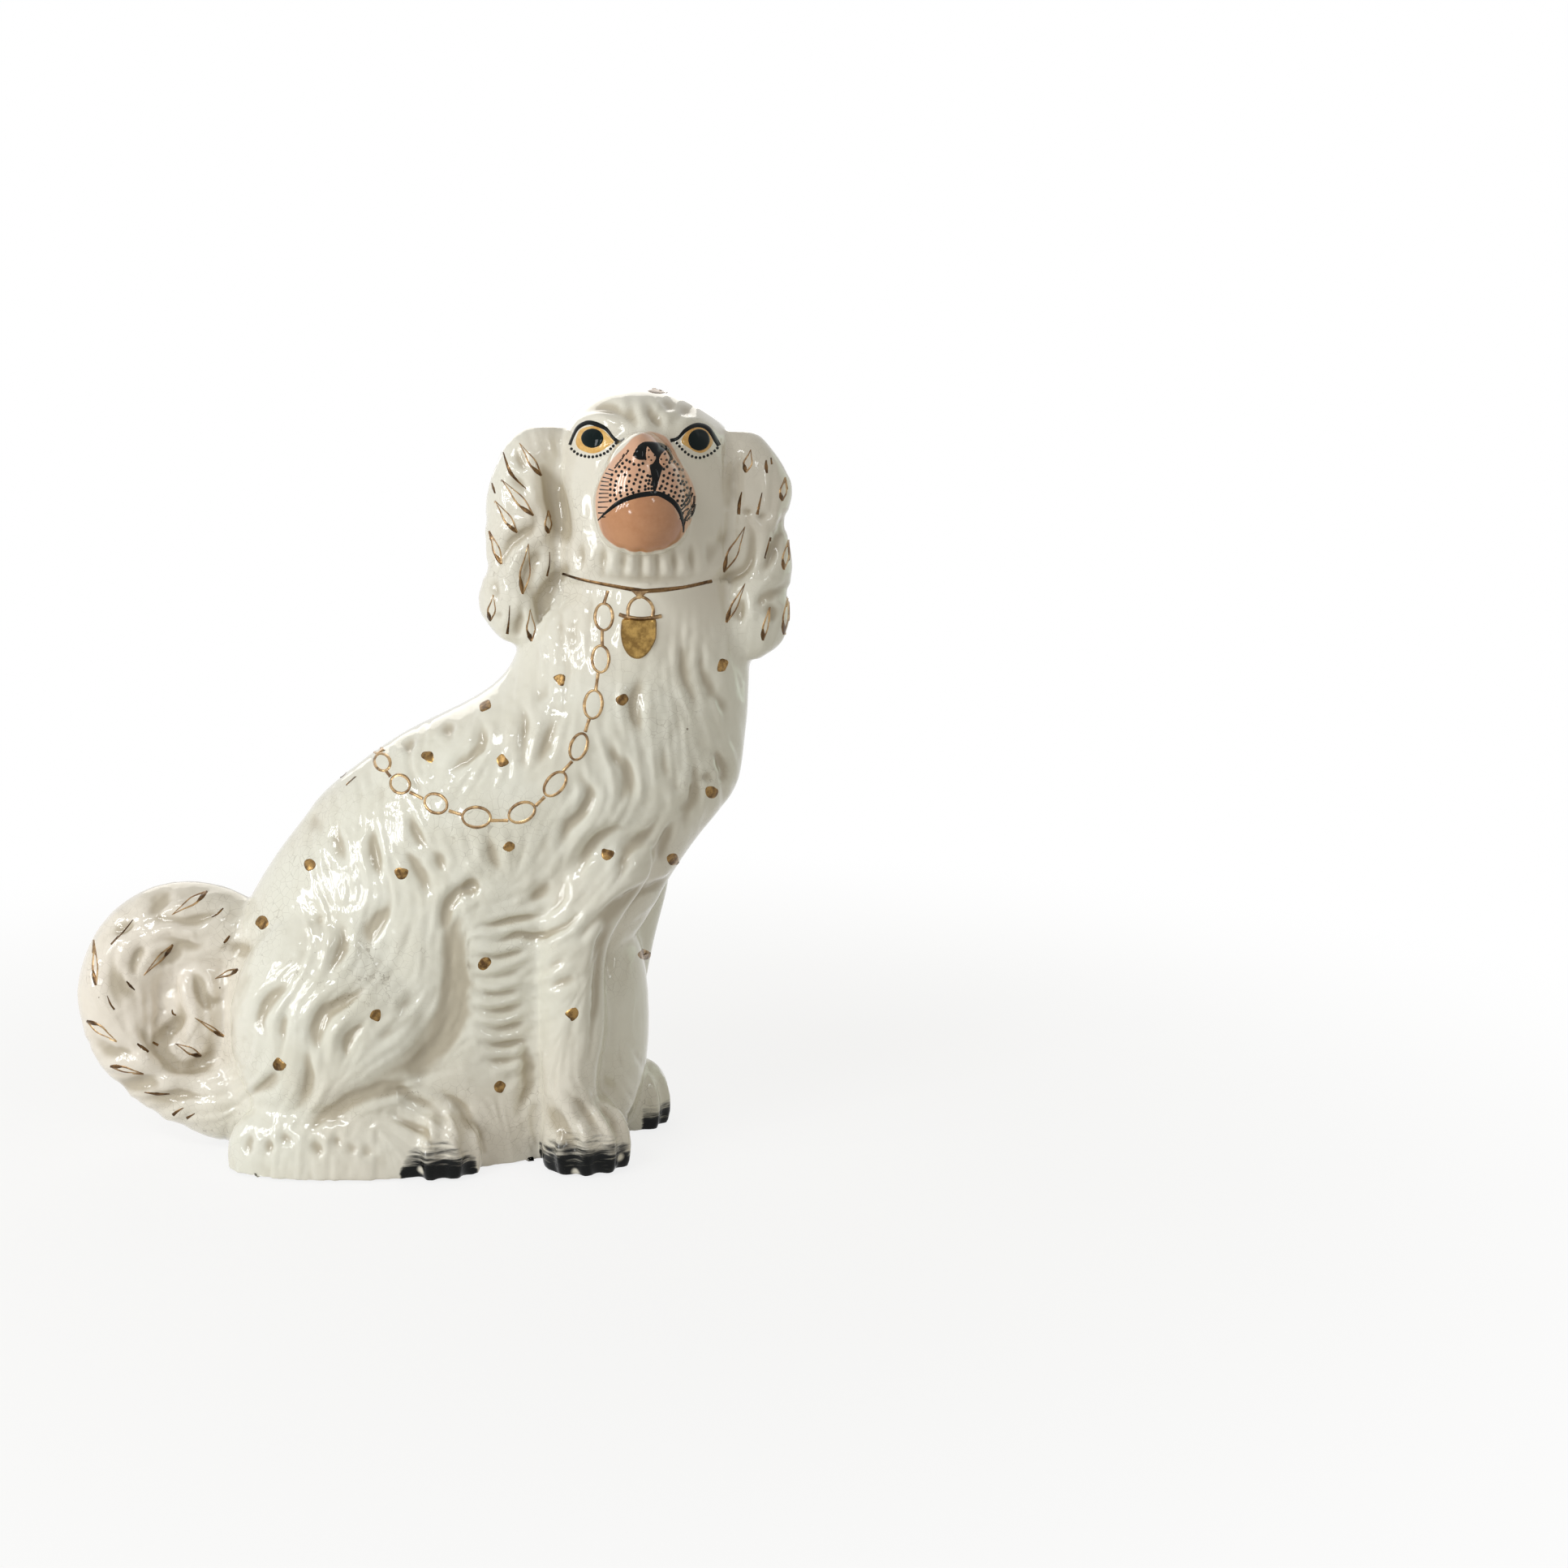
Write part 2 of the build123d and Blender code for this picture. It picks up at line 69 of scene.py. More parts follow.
# Clay that fills the kiln vent and webs the forelegs, so that the skin closes over them
vent_place = (-0.030, 0)
vent_plug_width = 20 * millimetre
vent_plug_rise = 0.5 * millimetre
leg_web_middle = (0.071, 0.004, 0.056)
leg_web_reach = (0.017, 0.030, 0.054)

# Small locks of fur between the furrows: their height, and in photograph pixels their width and the steps
# that draw them out along the furrows' flow, on a grid of cells
lock_height = 0.55 * millimetre
ear_lock_share = 0.7
lock_width = 7.5
lock_steps = 7
lock_step = 5.0
flow_cell = 16
flow_reach = 26
lock_draws = 97
lock_contrast = 5.5

# The moulding's hidden side is plainer, and its fur is the mirror image of the shown side's
seam_depth = 4 * millimetre
back_strength = 0.45
shown_side_gain = 2.2
# The furrow depth at which the furrows' darkening, part pooled glaze and part painted shade, is full
full_shade_depth = 1.6 * millimetre
chain_clearing = 17
chain_clearing_share = 0.85

# Paint laid on the glaze: how far each kind stands out, how deep its edge lies and how thick it is
paint_lift = 0.25 * millimetre
loaded_lift = 0.32 * millimetre
line_lift = 0.35 * millimetre
iris_lift = 0.2 * millimetre
pupil_lift = 0.4 * millimetre
nostril_lift = 0.42 * millimetre
nostril_dot_lift = 0.6 * millimetre
dark_spot_lift = 0.2 * millimetre
spot_lift = 0.22 * millimetre
link_lift = 0.4 * millimetre
link_bar_lift = 0.45 * millimetre
collar_lift = 0.45 * millimetre
staple_lift = 0.5 * millimetre
shackle_lift = 0.55 * millimetre
lock_bar_lift = 0.6 * millimetre
padlock_lift = 1.1 * millimetre
paint_sink = 0.04 * millimetre
paint_body = 0.4 * millimetre
paint_edge_angle = math.radians(50)
brush_step = 2.2
patch_step = 2.5

# Each furrow strength: its half width in photograph pixels and its depth
furrow_kinds = {
    "x": (10.5, 2.8 * millimetre),
    "s": (7.6, 2.0 * millimetre),
    "m": (7.2, 1.5 * millimetre),
    "w": (11.5, 1.8 * millimetre),
    "l": (7, 0.9 * millimetre),
    "thin": (3.5, 0.5 * millimetre),
    "flute": (5.5, 1.4 * millimetre),
    "rib": (5.4, 2.0 * millimetre),
    "valley": (21, 2.3 * millimetre),
    "ridge": (7.5, -1.4 * millimetre),
}
shoulder_share = 0.34
furrow_reach = 3.6

# Furrows of the moulded fur, each a strength and the pixels that it runs through
crown_furrows = (
    ("m", ((702, 514), (720, 506), (740, 500), (758, 502), (770, 512), (776, 522))),
    ("m", ((776, 492), (778, 506), (784, 518), (782, 528))),
    ("s", ((798, 494), (802, 506), (810, 516), (816, 526))),
    ("w", ((818, 488), (826, 496), (830, 506))),
    ("s", ((842, 490), (850, 502), (853, 508))),
    ("l", ((830, 510), (850, 508), (870, 514), (880, 522))),
)
ruff_furrows = (
    ("flute", ((713, 664), (713, 706))),
    ("flute", ((741, 670), (741, 710))),
    ("flute", ((767, 678), (766, 712))),
    ("flute", ((789, 682), (789, 714))),
    ("flute", ((810, 682), (811, 714))),
    ("flute", ((832, 676), (832, 712))),
    ("flute", ((853, 668), (855, 708))),
    ("l", ((874, 660), (875, 702))),
)
left_ear_edge = 690
right_ear_edge = 893
left_ear_furrows = (
    ("m", ((638, 549), (638, 561), (644, 573), (650, 579))),
    ("x", ((670, 569), (675, 583), (680, 601), (684, 619), (689, 639), (693, 659), (692, 675))),
    ("s", ((660, 627), (661, 643), (654, 653), (638, 663), (628, 671), (623, 681), (618, 695), (614, 705))),
    ("x", ((664, 675), (662, 685), (656, 695), (652, 705), (650, 717), (654, 731), (660, 741))),
    ("x", ((692, 687), (690, 703), (680, 717), (674, 731), (670, 745), (668, 761), (668, 775), (672, 793))),
    ("s", ((644, 745), (642, 761), (638, 775), (632, 787))),
    ("l", ((616, 755), (614, 765))),
    ("m", ((650, 609), (644, 601), (634, 591), (628, 579))),
    ("l", ((610, 708), (608, 722), (612, 738))),
)
right_ear_furrows = (
    ("l", ((912, 562), (906, 578), (903, 594), (905, 610), (909, 624))),
    ("s", ((922, 643), (927, 656), (928, 672), (926, 687), (920, 699), (910, 707), (897, 713), (885, 720))),
    ("m", ((920, 625), (919, 636))),
    ("m", ((940, 629), (940, 642))),
    ("l", ((899, 648), (894, 662), (886, 676), (881, 690))),
    ("s", ((957, 649), (959, 660), (955, 676), (949, 689), (941, 701), (932, 707))),
    ("s", ((972, 635), (970, 649), (962, 660))),
    ("m", ((973, 713), (970, 722), (959, 730), (947, 734), (941, 740), (939, 753), (938, 763))),
    ("s", ((916, 738), (911, 749), (910, 761), (911, 769))),
    ("s", ((954, 742), (954, 757), (951, 767))),
)
back_furrows = (
    ("m", ((555, 885), (550, 895), (552, 905))),
    ("m", ((508, 907), (500, 915), (502, 925))),
    ("s", ((593, 888), (593, 912), (582, 928), (566, 941), (556, 957))),
    ("m", ((640, 860), (644, 880), (646, 900), (645, 925), (642, 945))),
    ("l", ((668, 835), (668, 850), (663, 866))),
    ("m", ((680, 890), (673, 908), (668, 925), (660, 945))),
    ("m", ((508, 958), (513, 970), (521, 978))),
    ("m", ((507, 1005), (508, 1020), (516, 1036), (526, 1046))),
    ("m", ((533, 1048), (540, 1060), (543, 1074))),
    ("s", ((461, 1022), (458, 1042), (461, 1060), (466, 1080))),
    ("m", ((413, 1018), (414, 1035), (420, 1060))),
    ("m", ((500, 1048), (514, 1072), (526, 1098))),
    ("x", ((568, 1093), (580, 1094), (592, 1096))),
    ("m", ((601, 1035), (606, 1055), (613, 1075))),
    ("l", ((463, 958), (469, 975), (464, 990))),
    ("l", ((386, 1000), (388, 1030))),
)
chest_furrows = (
    ("s", ((753, 915), (759, 929), (768, 942), (773, 956), (773, 971), (769, 985), (763, 997))),
    ("s", ((716, 955), (726, 974), (725, 988), (716, 1004), (702, 1018), (695, 1034), (690, 1050))),
    ("s", ((776, 1021), (757, 1024), (740, 1034), (727, 1048), (718, 1062), (712, 1080))),
    ("s", ((787, 842), (781, 862), (782, 880), (788, 897))),
    ("m", ((849, 790), (845, 812), (848, 836), (855, 854), (861, 870))),
    ("m", ((867, 798), (866, 814), (870, 832), (880, 854), (889, 871))),
    ("l", ((893, 854), (899, 881))),
    ("l", ((826, 905), (821, 925), (821, 942), (828, 962), (842, 980))),
    ("m", ((857, 940), (858, 962), (855, 985), (847, 1001), (843, 1020))),
    ("m", ((878, 925), (890, 938), (894, 955), (886, 962))),
    ("m", ((871, 950), (877, 966))),
    ("m", ((812, 1012), (801, 1028), (785, 1037), (773, 1048), (767, 1065), (764, 1082))),
    ("m", ((833, 1014), (823, 1031), (817, 1048), (816, 1064))),
    ("m", ((832, 1084), (815, 1092), (798, 1101))),
    ("l", ((686, 738), (685, 770), (688, 800))),
    ("l", ((706, 745), (706, 775), (705, 800))),
    ("l", ((726, 738), (724, 765), (724, 785))),
)
haunch_furrows = (
    ("s", ((418, 1135), (422, 1150), (421, 1166), (414, 1182), (402, 1199))),
    ("l", ((388, 1128), (394, 1137))),
    ("s", ((352, 1217), (334, 1228), (323, 1242), (319, 1258), (324, 1275))),
    ("x", ((440, 1225), (419, 1237), (400, 1248), (390, 1266), (389, 1284), (392, 1297))),
    ("s", ((446, 1262), (431, 1277), (426, 1291), (428, 1303))),
    ("l", ((352, 1250), (346, 1265), (347, 1280))),
    ("s", ((373, 1290), (378, 1312), (379, 1335), (372, 1358), (362, 1374))),
    ("s", ((345, 1322), (327, 1338), (305, 1350))),
    ("s", ((580, 1094), (560, 1105), (549, 1122), (546, 1142))),
    ("valley", ((566, 1112), (558, 1150), (562, 1195), (558, 1240), (540, 1282), (508, 1318), (470, 1340))),
    ("w", ((372, 1384), (392, 1379), (413, 1370), (430, 1359), (448, 1351), (470, 1343), (492, 1338))),
    ("s", ((471, 1356), (492, 1347), (512, 1357), (536, 1366), (553, 1379))),
    ("m", ((522, 1345), (540, 1350), (560, 1359), (580, 1376), (592, 1394), (596, 1414))),
    ("m", ((484, 1372), (500, 1379), (518, 1392), (530, 1409), (534, 1424))),
    ("m", ((566, 1368), (577, 1385), (582, 1402))),
    ("w", ((478, 1118), (466, 1132), (456, 1148), (452, 1165))),
    ("m", ((514, 1228), (500, 1238), (490, 1250))),
    ("l", ((499, 1264), (479, 1275), (468, 1287))),
)
foot_flutes = (
    (305, 1396, 1424), (330, 1402, 1422), (352, 1394, 1414), (391, 1402, 1426), (414, 1398, 1420),
    (433, 1406, 1424), (451, 1408, 1428),
)
rib_furrows = (
    ("rib", ((590, 1141), (610, 1141), (634, 1135), (655, 1132), (672, 1128))),
    ("rib", ((590, 1160), (615, 1161), (640, 1153), (659, 1155), (679, 1148), (698, 1139), (709, 1129))),
    ("rib", ((588, 1180), (615, 1181), (648, 1172))),
    ("rib", ((586, 1202), (607, 1205), (628, 1200), (648, 1190))),
    ("rib", ((586, 1222), (613, 1226), (646, 1217))),
    ("rib", ((588, 1243), (613, 1247), (646, 1239))),
    ("rib", ((590, 1264), (617, 1269), (648, 1260))),
    ("rib", ((594, 1285), (620, 1289), (648, 1282))),
    ("rib", ((598, 1306), (622, 1308), (646, 1302))),
    ("l", ((622, 1331), (645, 1320))),
)
foreleg_furrows = (
    ("s", ((650, 1109), (665, 1101), (673, 1091), (676, 1083))),
    ("m", ((668, 1124), (681, 1115), (690, 1100), (693, 1084))),
    ("s", ((811, 1080), (794, 1094), (776, 1105), (759, 1116), (745, 1129), (731, 1140), (722, 1150),
           (717, 1164))),
    ("s", ((831, 1080), (808, 1095), (785, 1107), (768, 1123), (754, 1140), (745, 1160), (741, 1183),
           (739, 1206), (738, 1224), (735, 1246), (731, 1269), (728, 1289), (726, 1304))),
    ("m", ((676, 1217), (694, 1211), (711, 1204))),
    ("l", ((672, 1197), (684, 1188), (700, 1183))),
    ("w", ((672, 1364), (684, 1382), (696, 1400), (706, 1420))),
    ("s", ((706, 1350), (719, 1364), (733, 1385), (744, 1402))),
    ("s", ((733, 1348), (745, 1364), (757, 1382), (765, 1396))),
    ("s", ((786, 1301), (802, 1315), (817, 1330), (825, 1342))),
    ("s", ((648, 1285), (652, 1315), (651, 1338), (643, 1360), (640, 1376))),
)
tail_furrows = (
    ("s", ((186, 1137), (197, 1133), (213, 1132), (228, 1135), (242, 1132), (256, 1127), (270, 1120))),
    ("s", ((138, 1148), (152, 1142), (163, 1136))),
    ("w", ((207, 1092), (200, 1104), (192, 1118), (186, 1132))),
    ("s", ((190, 1162), (203, 1158), (214, 1159), (227, 1165), (240, 1169), (250, 1166))),
    ("s", ((180, 1166), (168, 1178), (163, 1193), (168, 1207))),
    ("x", ((197, 1193), (205, 1183), (216, 1179), (226, 1181))),
    ("w", ((141, 1180), (134, 1197), (135, 1213), (145, 1228), (160, 1238))),
    ("m", ((152, 1186), (148, 1202), (153, 1217), (167, 1228))),
    ("x", ((236, 1196), (243, 1208), (248, 1222), (256, 1236), (267, 1244))),
    ("x", ((219, 1228), (223, 1244), (222, 1257), (211, 1267), (201, 1277), (198, 1290), (202, 1300),
           (213, 1310), (228, 1316), (246, 1312), (257, 1305), (261, 1293), (258, 1281))),
    ("m", ((206, 1240), (194, 1254), (184, 1265), (181, 1276), (186, 1290), (197, 1302))),
    ("l", ((172, 1262), (175, 1276), (180, 1286))),
    ("l", ((202, 1205), (203, 1220), (199, 1236))),
    ("l", ((213, 1205), (216, 1218), (220, 1230))),
    ("m", ((113, 1281), (128, 1292), (146, 1297), (168, 1296))),
    ("l", ((119, 1298), (131, 1304), (145, 1306))),
    ("x", ((138, 1334), (154, 1339), (170, 1338), (184, 1333), (200, 1326), (215, 1321))),
    ("x", ((170, 1360), (186, 1358), (200, 1354), (214, 1350), (230, 1348), (247, 1351))),
    ("w", ((290, 1158), (291, 1168), (287, 1180))),
    ("m", ((262, 1240), (268, 1233), (277, 1230))),
)
foot_furrows = tuple(("m", ((x, top), (x, low))) for x, top, low in foot_flutes)
face_furrows = (
    ("ridge", ((703, 527), (715, 515), (730, 510), (746, 515), (759, 528))),
    ("ridge", ((838, 527), (847, 517), (860, 513), (874, 520), (886, 536))),
    ("thin", ((742, 640), (752, 628), (763, 619), (784, 611), (807, 608), (820, 612), (831, 621),
              (839, 633))),
    ("thin", ((807, 572), (807, 606))),
    ("l", ((716, 706), (750, 713), (790, 717), (840, 715), (872, 707))),
)
head_furrows = crown_furrows + face_furrows + ruff_furrows + left_ear_furrows + right_ear_furrows
coat_furrows = (
    back_furrows + chest_furrows + haunch_furrows + foot_furrows
    + rib_furrows + foreleg_furrows + tail_furrows
)

# Gilding, in photograph pixels
gilt_spots = (
    (690, 838), (767, 862), (890, 820), (597, 870), (528, 932), (618, 938), (877, 975), (628, 1043),
    (748, 1053), (830, 1058), (381, 1065), (495, 1075), (323, 1137), (597, 1188), (793, 1176), (462, 1251),
    (705, 1250), (344, 1312), (616, 1338),
)
spot_radius = 8
spot_corners = 7
link_ovals = (
    (744, 760, 22, 33, 0), (740, 812, 21, 33, 0), (731, 868, 22, 35, 6), (713, 920, 20, 34, 20),
    (684, 966, 21, 35, 40), (643, 1001, 23, 34, 65), (587, 1007, 25, 35, 92), (537, 990, 23, 29, 116),
    (493, 966, 22, 25, 125), (471, 939, 19, 22, 150), (464, 921, 12, 14, 160),
)
link_mound_rise = 0.7 * millimetre
link_mound_margin = 4

# Swellings of the moulding: each is its middle, half width and half height in pixels, and its rise
swellings = (
    (787, 788, 31, 34, 1.0 * millimetre),
    (788, 748, 17, 16, 0.5 * millimetre),
    (788, 560, 9, 11, 1.2 * millimetre),
    (823, 561, 9, 11, 1.0 * millimetre),
    (806, 552, 10, 12, 1.0 * millimetre),
    (806, 640, 34, 24, 1.2 * millimetre),
    (766, 590, 22, 26, 0.8 * millimetre),
    (838, 596, 16, 26, 0.6 * millimetre),
    (733, 541, 27, 20, 1.2 * millimetre),
    (859, 542, 24, 20, 1.2 * millimetre),
)
ear_lobes = (
    (602, 604, 14, 20, 0.7 * millimetre),
    (602, 640, 13, 9, -0.7 * millimetre),
    (597, 670, 14, 18, 0.7 * millimetre),
    (596, 701, 13, 10, -1.1 * millimetre),
    (589, 745, 15, 20, 1.1 * millimetre),
    (612, 566, 13, 10, -0.6 * millimetre),
    (978, 603, 16, 18, 0.6 * millimetre),
    (974, 643, 14, 12, -1.3 * millimetre),
    (976, 688, 14, 18, 0.6 * millimetre),
    (971, 731, 14, 10, -1.2 * millimetre),
    (975, 757, 14, 16, 0.6 * millimetre),
)
link_bars = (
    ((749, 728), (744, 744)), ((742, 776), (742, 795)), ((737, 829), (734, 851)), ((726, 886), (721, 902)),
    ((705, 938), (694, 950)), ((671, 982), (660, 993)), ((626, 1011), (605, 1011)),
    ((569, 1004), (553, 999)), ((521, 984), (505, 976)), ((481, 957), (475, 949)),
)

# Black-tipped paws: where the black starts and ends across the photograph, and how high it reaches
near_toes = (655, 788, 19 * millimetre)
hind_toes = (489, 594, 17 * millimetre)
far_toes_from = 82 * millimetre
far_toes_height = 12 * millimetre
far_toes_fade = 2 * millimetre
toe_black_top = 1.3

# Muzzle: flesh above the mouth, and darker flesh on the chin below it, partly its own paint and partly
# painted shade under the muzzle
face_middle = (795, 605)
face_half_size = (70, 80)
muzzle_edge_softness = 1.6
chin_edge_softness = 1.2
muzzle_left = (
    (735, 646), (731, 622), (733, 602), (741, 583), (751, 567), (766, 551), (778, 538), (790, 532),
    (801, 530),
)
muzzle_right = (
    (814, 533), (824, 540), (832, 553), (840, 568), (849, 584), (856, 600), (859, 615), (856, 632),
    (851, 649),
)
mouth_line = (
    (737, 641), (746, 632), (763, 619), (784, 611), (807, 608), (818, 611), (830, 619), (838, 631),
    (842, 647),
)
mouth_end = (842, 656)
chin_line = ((851, 652), (837, 669), (815, 680), (790, 683), (764, 678), (744, 664))
collar_line = ((693, 707), (716, 714), (745, 720), (784, 727), (801, 728), (840, 724), (877, 716))


def only(*pieces):
    """Deselects everything, then selects these pieces with the first as the active one."""
    bpy.ops.object.select_all(action="DESELECT")
    for piece in pieces:
        piece.select_set(True)
    bpy.context.view_layer.objects.active = pieces[0]


def apply_modifiers(piece):
    """Makes a piece's modifiers part of its mesh."""
    only(piece)
    for modifier in list(piece.modifiers):
        bpy.ops.object.modifier_apply(modifier=modifier.name)


def coat_with(piece, material):
    """Gives a piece one material."""
    piece.data.materials.clear()
    piece.data.materials.append(material)


def joined(name, pieces):
    """Joins pieces to one of the given name."""
    only(*pieces)
    if len(pieces) > 1:
        bpy.ops.object.join()
    piece = bpy.context.object
    piece.name = name
    piece.data.name = name
    return piece


def points_of(piece):
    """A mesh's points as rows."""
    points = np.empty(len(piece.data.vertices) * 3, np.float32)
    piece.data.vertices.foreach_get("co", points)
    return points.reshape(-1, 3).astype(float)


def place_points(piece, points):
    """Moves a mesh's points."""
    piece.data.vertices.foreach_set("co", points.astype(np.float32).ravel())
    piece.data.update()


def select_none(piece):
    """Deselects a mesh's points, edges and faces."""
    for part in (piece.data.vertices, piece.data.edges, piece.data.polygons):
        part.foreach_set("select", np.zeros(len(part), bool))


def edge_ends(piece):
    """The points at the first and at the second end of a mesh's edges."""
    ends = np.empty(len(piece.data.edges) * 2, np.int32)
    piece.data.edges.foreach_get("vertices", ends)
    return ends.reshape(-1, 2).T


def neighbour_sums(ends, values):
    """The sum of a value over the neighbours of each point."""
    first, second = ends
    count = len(values)
    return np.bincount(first, values[second], count) + np.bincount(second, values[first], count)


def merge_doubles(piece):
    """Merges the points of a mesh that lie in the same place."""
    only(piece)
    bpy.ops.object.mode_set(mode="EDIT")
    bpy.ops.mesh.select_all(action="SELECT")
    bpy.ops.mesh.remove_doubles(threshold=same_place)
    bpy.ops.object.mode_set(mode="OBJECT")


def smoothed(piece, rounds, group=""):
    """Softens a mesh by some rounds, where a group is given only there."""
    soften = piece.modifiers.new("soften", "SMOOTH")
    soften.factor = smooth_factor
    soften.iterations = rounds
    soften.vertex_group = group
    apply_modifiers(piece)


def normals_of(piece):
    """The way that the surface faces at each point of a mesh."""
    normals = np.empty(len(piece.data.vertices) * 3, np.float32)
    piece.data.vertex_normals.foreach_get("vector", normals)
    return normals.reshape(-1, 3).astype(float)


# The photograph's pixels and the space before its camera
view_right = np.array((1, 0, 0))
view_ahead = np.array((0, math.cos(camera_dip), -math.sin(camera_dip)))
view_up = np.array((0, math.sin(camera_dip), math.cos(camera_dip)))


def seen_at(points):
    """The photograph's pixels where points are seen."""
    away = points - np.array(camera_place)
    depth = away @ view_ahead
    across = photo_side / 2 + focal_pixels * (away @ view_right) / depth
    down = photo_side / 2 - focal_pixels * (away @ view_up) / depth
    return across, down


def line_of_sight(across, down):
    """The way from the camera through a pixel."""
    right = (across - photo_side / 2) / focal_pixels
    up = (photo_side / 2 - down) / focal_pixels
    return Vector(view_ahead + view_right * right + view_up * up).normalized()


def smooth_line(corners, step=2.0, closed=False):
    """Points about a step apart on a smooth line through the corners."""
    corners = np.array(corners, float)
    if closed:
        around = np.vstack((corners[-1], corners, corners[0], corners[1]))
    else:
        around = np.vstack((2 * corners[0] - corners[1], corners, 2 * corners[-1] - corners[-2]))
    parts = []
    for before, start, end, after in zip(around, around[1:], around[2:], around[3:]):
        count = max(2, int(np.linalg.norm(end - start) / step))
        t = np.arange(count)[:, None] / count
        bend = 2 * before - 5 * start + 4 * end - after
        twist = 3 * start - before - 3 * end + after
        parts.append((2 * start + (end - before) * t + bend * t**2 + twist * t**3) / 2)
    parts.append(around[-2][None])
    return np.vstack(parts)


def run_along(line):
    """How far along a line each of its points lies."""
    return np.concatenate(((0,), np.cumsum(np.linalg.norm(np.diff(line, axis=0), axis=1))))


def cut_evenly(line, count):
    """A line cut to an even count of steps."""
    runs = run_along(line)
    even = np.linspace(0, runs[-1], count + 1)
    return np.column_stack([np.interp(even, runs, line[:, axis]) for axis in (0, 1)])


def distance_to(line, across, down):
    """How far pixels lie from a line, and the share of its length at the nearest place."""
    best = np.full(len(across), np.inf)
    share = np.zeros(len(across))
    runs = run_along(line)
    for start, end, before, after in zip(line, line[1:], runs, runs[1:]):
        run = after - before
        right, low = end - start
        along = np.clip(((across - start[0]) * right + (down - start[1]) * low) / run**2, 0, 1)
        away = np.hypot(across - start[0] - along * right, down - start[1] - along * low)
        nearer = away < best
        best[nearer] = away[nearer]
        share[nearer] = (before + along[nearer] * run) / runs[-1]
    return best, share


def furrow_relief(furrows, across, down):
    """How far the furrows press in or swell out the surface at each pixel."""
    relief = np.zeros(len(across))
    for kind, corners in furrows:
        half_width, depth = furrow_kinds[kind]
        line = smooth_line(corners, 4)
        reach = half_width * furrow_reach
        low, high = line.min(0) - reach, line.max(0) + reach
        near = (across > low[0]) & (across < high[0]) & (down > low[1]) & (down < high[1])
        away, share = distance_to(line, across[near], down[near])
        fade = np.sin(math.pi * (0.05 + 0.9 * share)) ** 0.9
        half_width = half_width * (0.62 + 0.5 * fade)
        groove = np.exp(-((away / half_width) ** 2))
        shoulder = np.exp(-(((away - 2 * half_width) / half_width) ** 2))
        relief[near] += depth * fade * (shoulder_share * shoulder - groove)
    return relief


def mixed(grid, across, down):
    """The smoothly mixed values of a grid that repeats, at places counted in its cells."""
    column, row = np.floor(across).astype(int), np.floor(down).astype(int)
    right, low = across - column, down - row
    right, low = right**2 * (3 - 2 * right), low**2 * (3 - 2 * low)
    rows, columns = grid.shape
    next_column, next_row = (column + 1) % columns, (row + 1) % rows
    column, row = column % columns, row % rows
    above = grid[row, column] * (1 - right) + grid[row, next_column] * right
    below = grid[next_row, column] * (1 - right) + grid[next_row, next_column] * right
    return above * (1 - low) + below * low


def lock_relief(furrows, across, down):
    """Small locks of fur that run along with the furrows round them, from about -1 to 1."""
    spots, turns = [], []
    for _, corners in furrows:
        line = smooth_line(corners, 8)
        heading = np.diff(line, axis=0)
        spots.append(line[1:])
        turns.append(2 * np.arctan2(heading[:, 1], heading[:, 0]))
    spots, turns = np.vstack(spots), np.concatenate(turns)
    middles = (np.arange(photo_side // flow_cell) + 0.5) * flow_cell
    columns, rows = np.meshgrid(middles, middles)
    away = (columns[..., None] - spots[:, 0]) ** 2 + (rows[..., None] - spots[:, 1]) ** 2
    pull = np.exp(-away / (2 * flow_reach**2))
    crowd = np.clip(pull.sum(-1) / 2.5, 0, 1)
    cosine, sine = (pull * np.cos(turns)).sum(-1), (pull * np.sin(turns)).sum(-1)
    draws = np.random.default_rng(5).random((lock_draws, lock_draws))
    total = np.zeros(len(across))
    for way in (-1, 1):
        x, y = across.copy(), down.copy()
        last = None
        for _ in range(lock_steps):
            u, v = x / flow_cell - 0.5, y / flow_cell - 0.5
            turn = np.arctan2(mixed(sine, u, v), mixed(cosine, u, v)) / 2
            step = np.array((np.cos(turn), np.sin(turn)))
            facing = way * np.ones(len(x)) if last is None else np.sign((step * last).sum(0) + 1e-9)
            last = step * facing
            x, y = x + last[0] * lock_step, y + last[1] * lock_step
            total += mixed(draws, x / lock_width, y / lock_width)
    total /= 2 * lock_steps
    fading = mixed(crowd, across / flow_cell - 0.5, down / flow_cell - 0.5)
    return np.clip((total - 0.5) * lock_contrast, -1, 1) * fading


def inside_of(outline, across, down):
    """Which pixels lie inside a closed outline."""
    inside = np.zeros(len(across), bool)
    for start, end in zip(outline[:-1], outline[1:]):
        if start[1] != end[1]:
            crossing = start[0] + (end[0] - start[0]) * (down - start[1]) / (end[1] - start[1])
            inside ^= ((start[1] > down) != (end[1] > down)) & (across < crossing)
    return inside


def painted_area(corners, across, down, soft=muzzle_edge_softness):
    """How far pixels are inside an outline, from 0 outside to 1 inside, with a soft edge."""
    outline = smooth_line(corners, 3, True)
    away = distance_to(outline, across, down)[0]
    away[~inside_of(outline, across, down)] *= -1
    return np.clip(0.5 + away / (2 * soft), 0, 1)


def keep_attribute(piece, name, values):
    """Stores one number for each point of a mesh."""
    attribute = piece.data.attributes.new(name, "FLOAT", "POINT")
    attribute.data.foreach_set("value", values.astype(np.float32))


def swelling_relief(mounds, across, down):
    """How far flat-topped mounds stand out at each pixel."""
    relief = np.zeros(len(across))
    for x, y, half_width, half_height, rise in mounds:
        reach = ((across - x) / half_width) ** 2 + ((down - y) / half_height) ** 2
        relief += rise * np.exp(-(reach**2))
    return relief


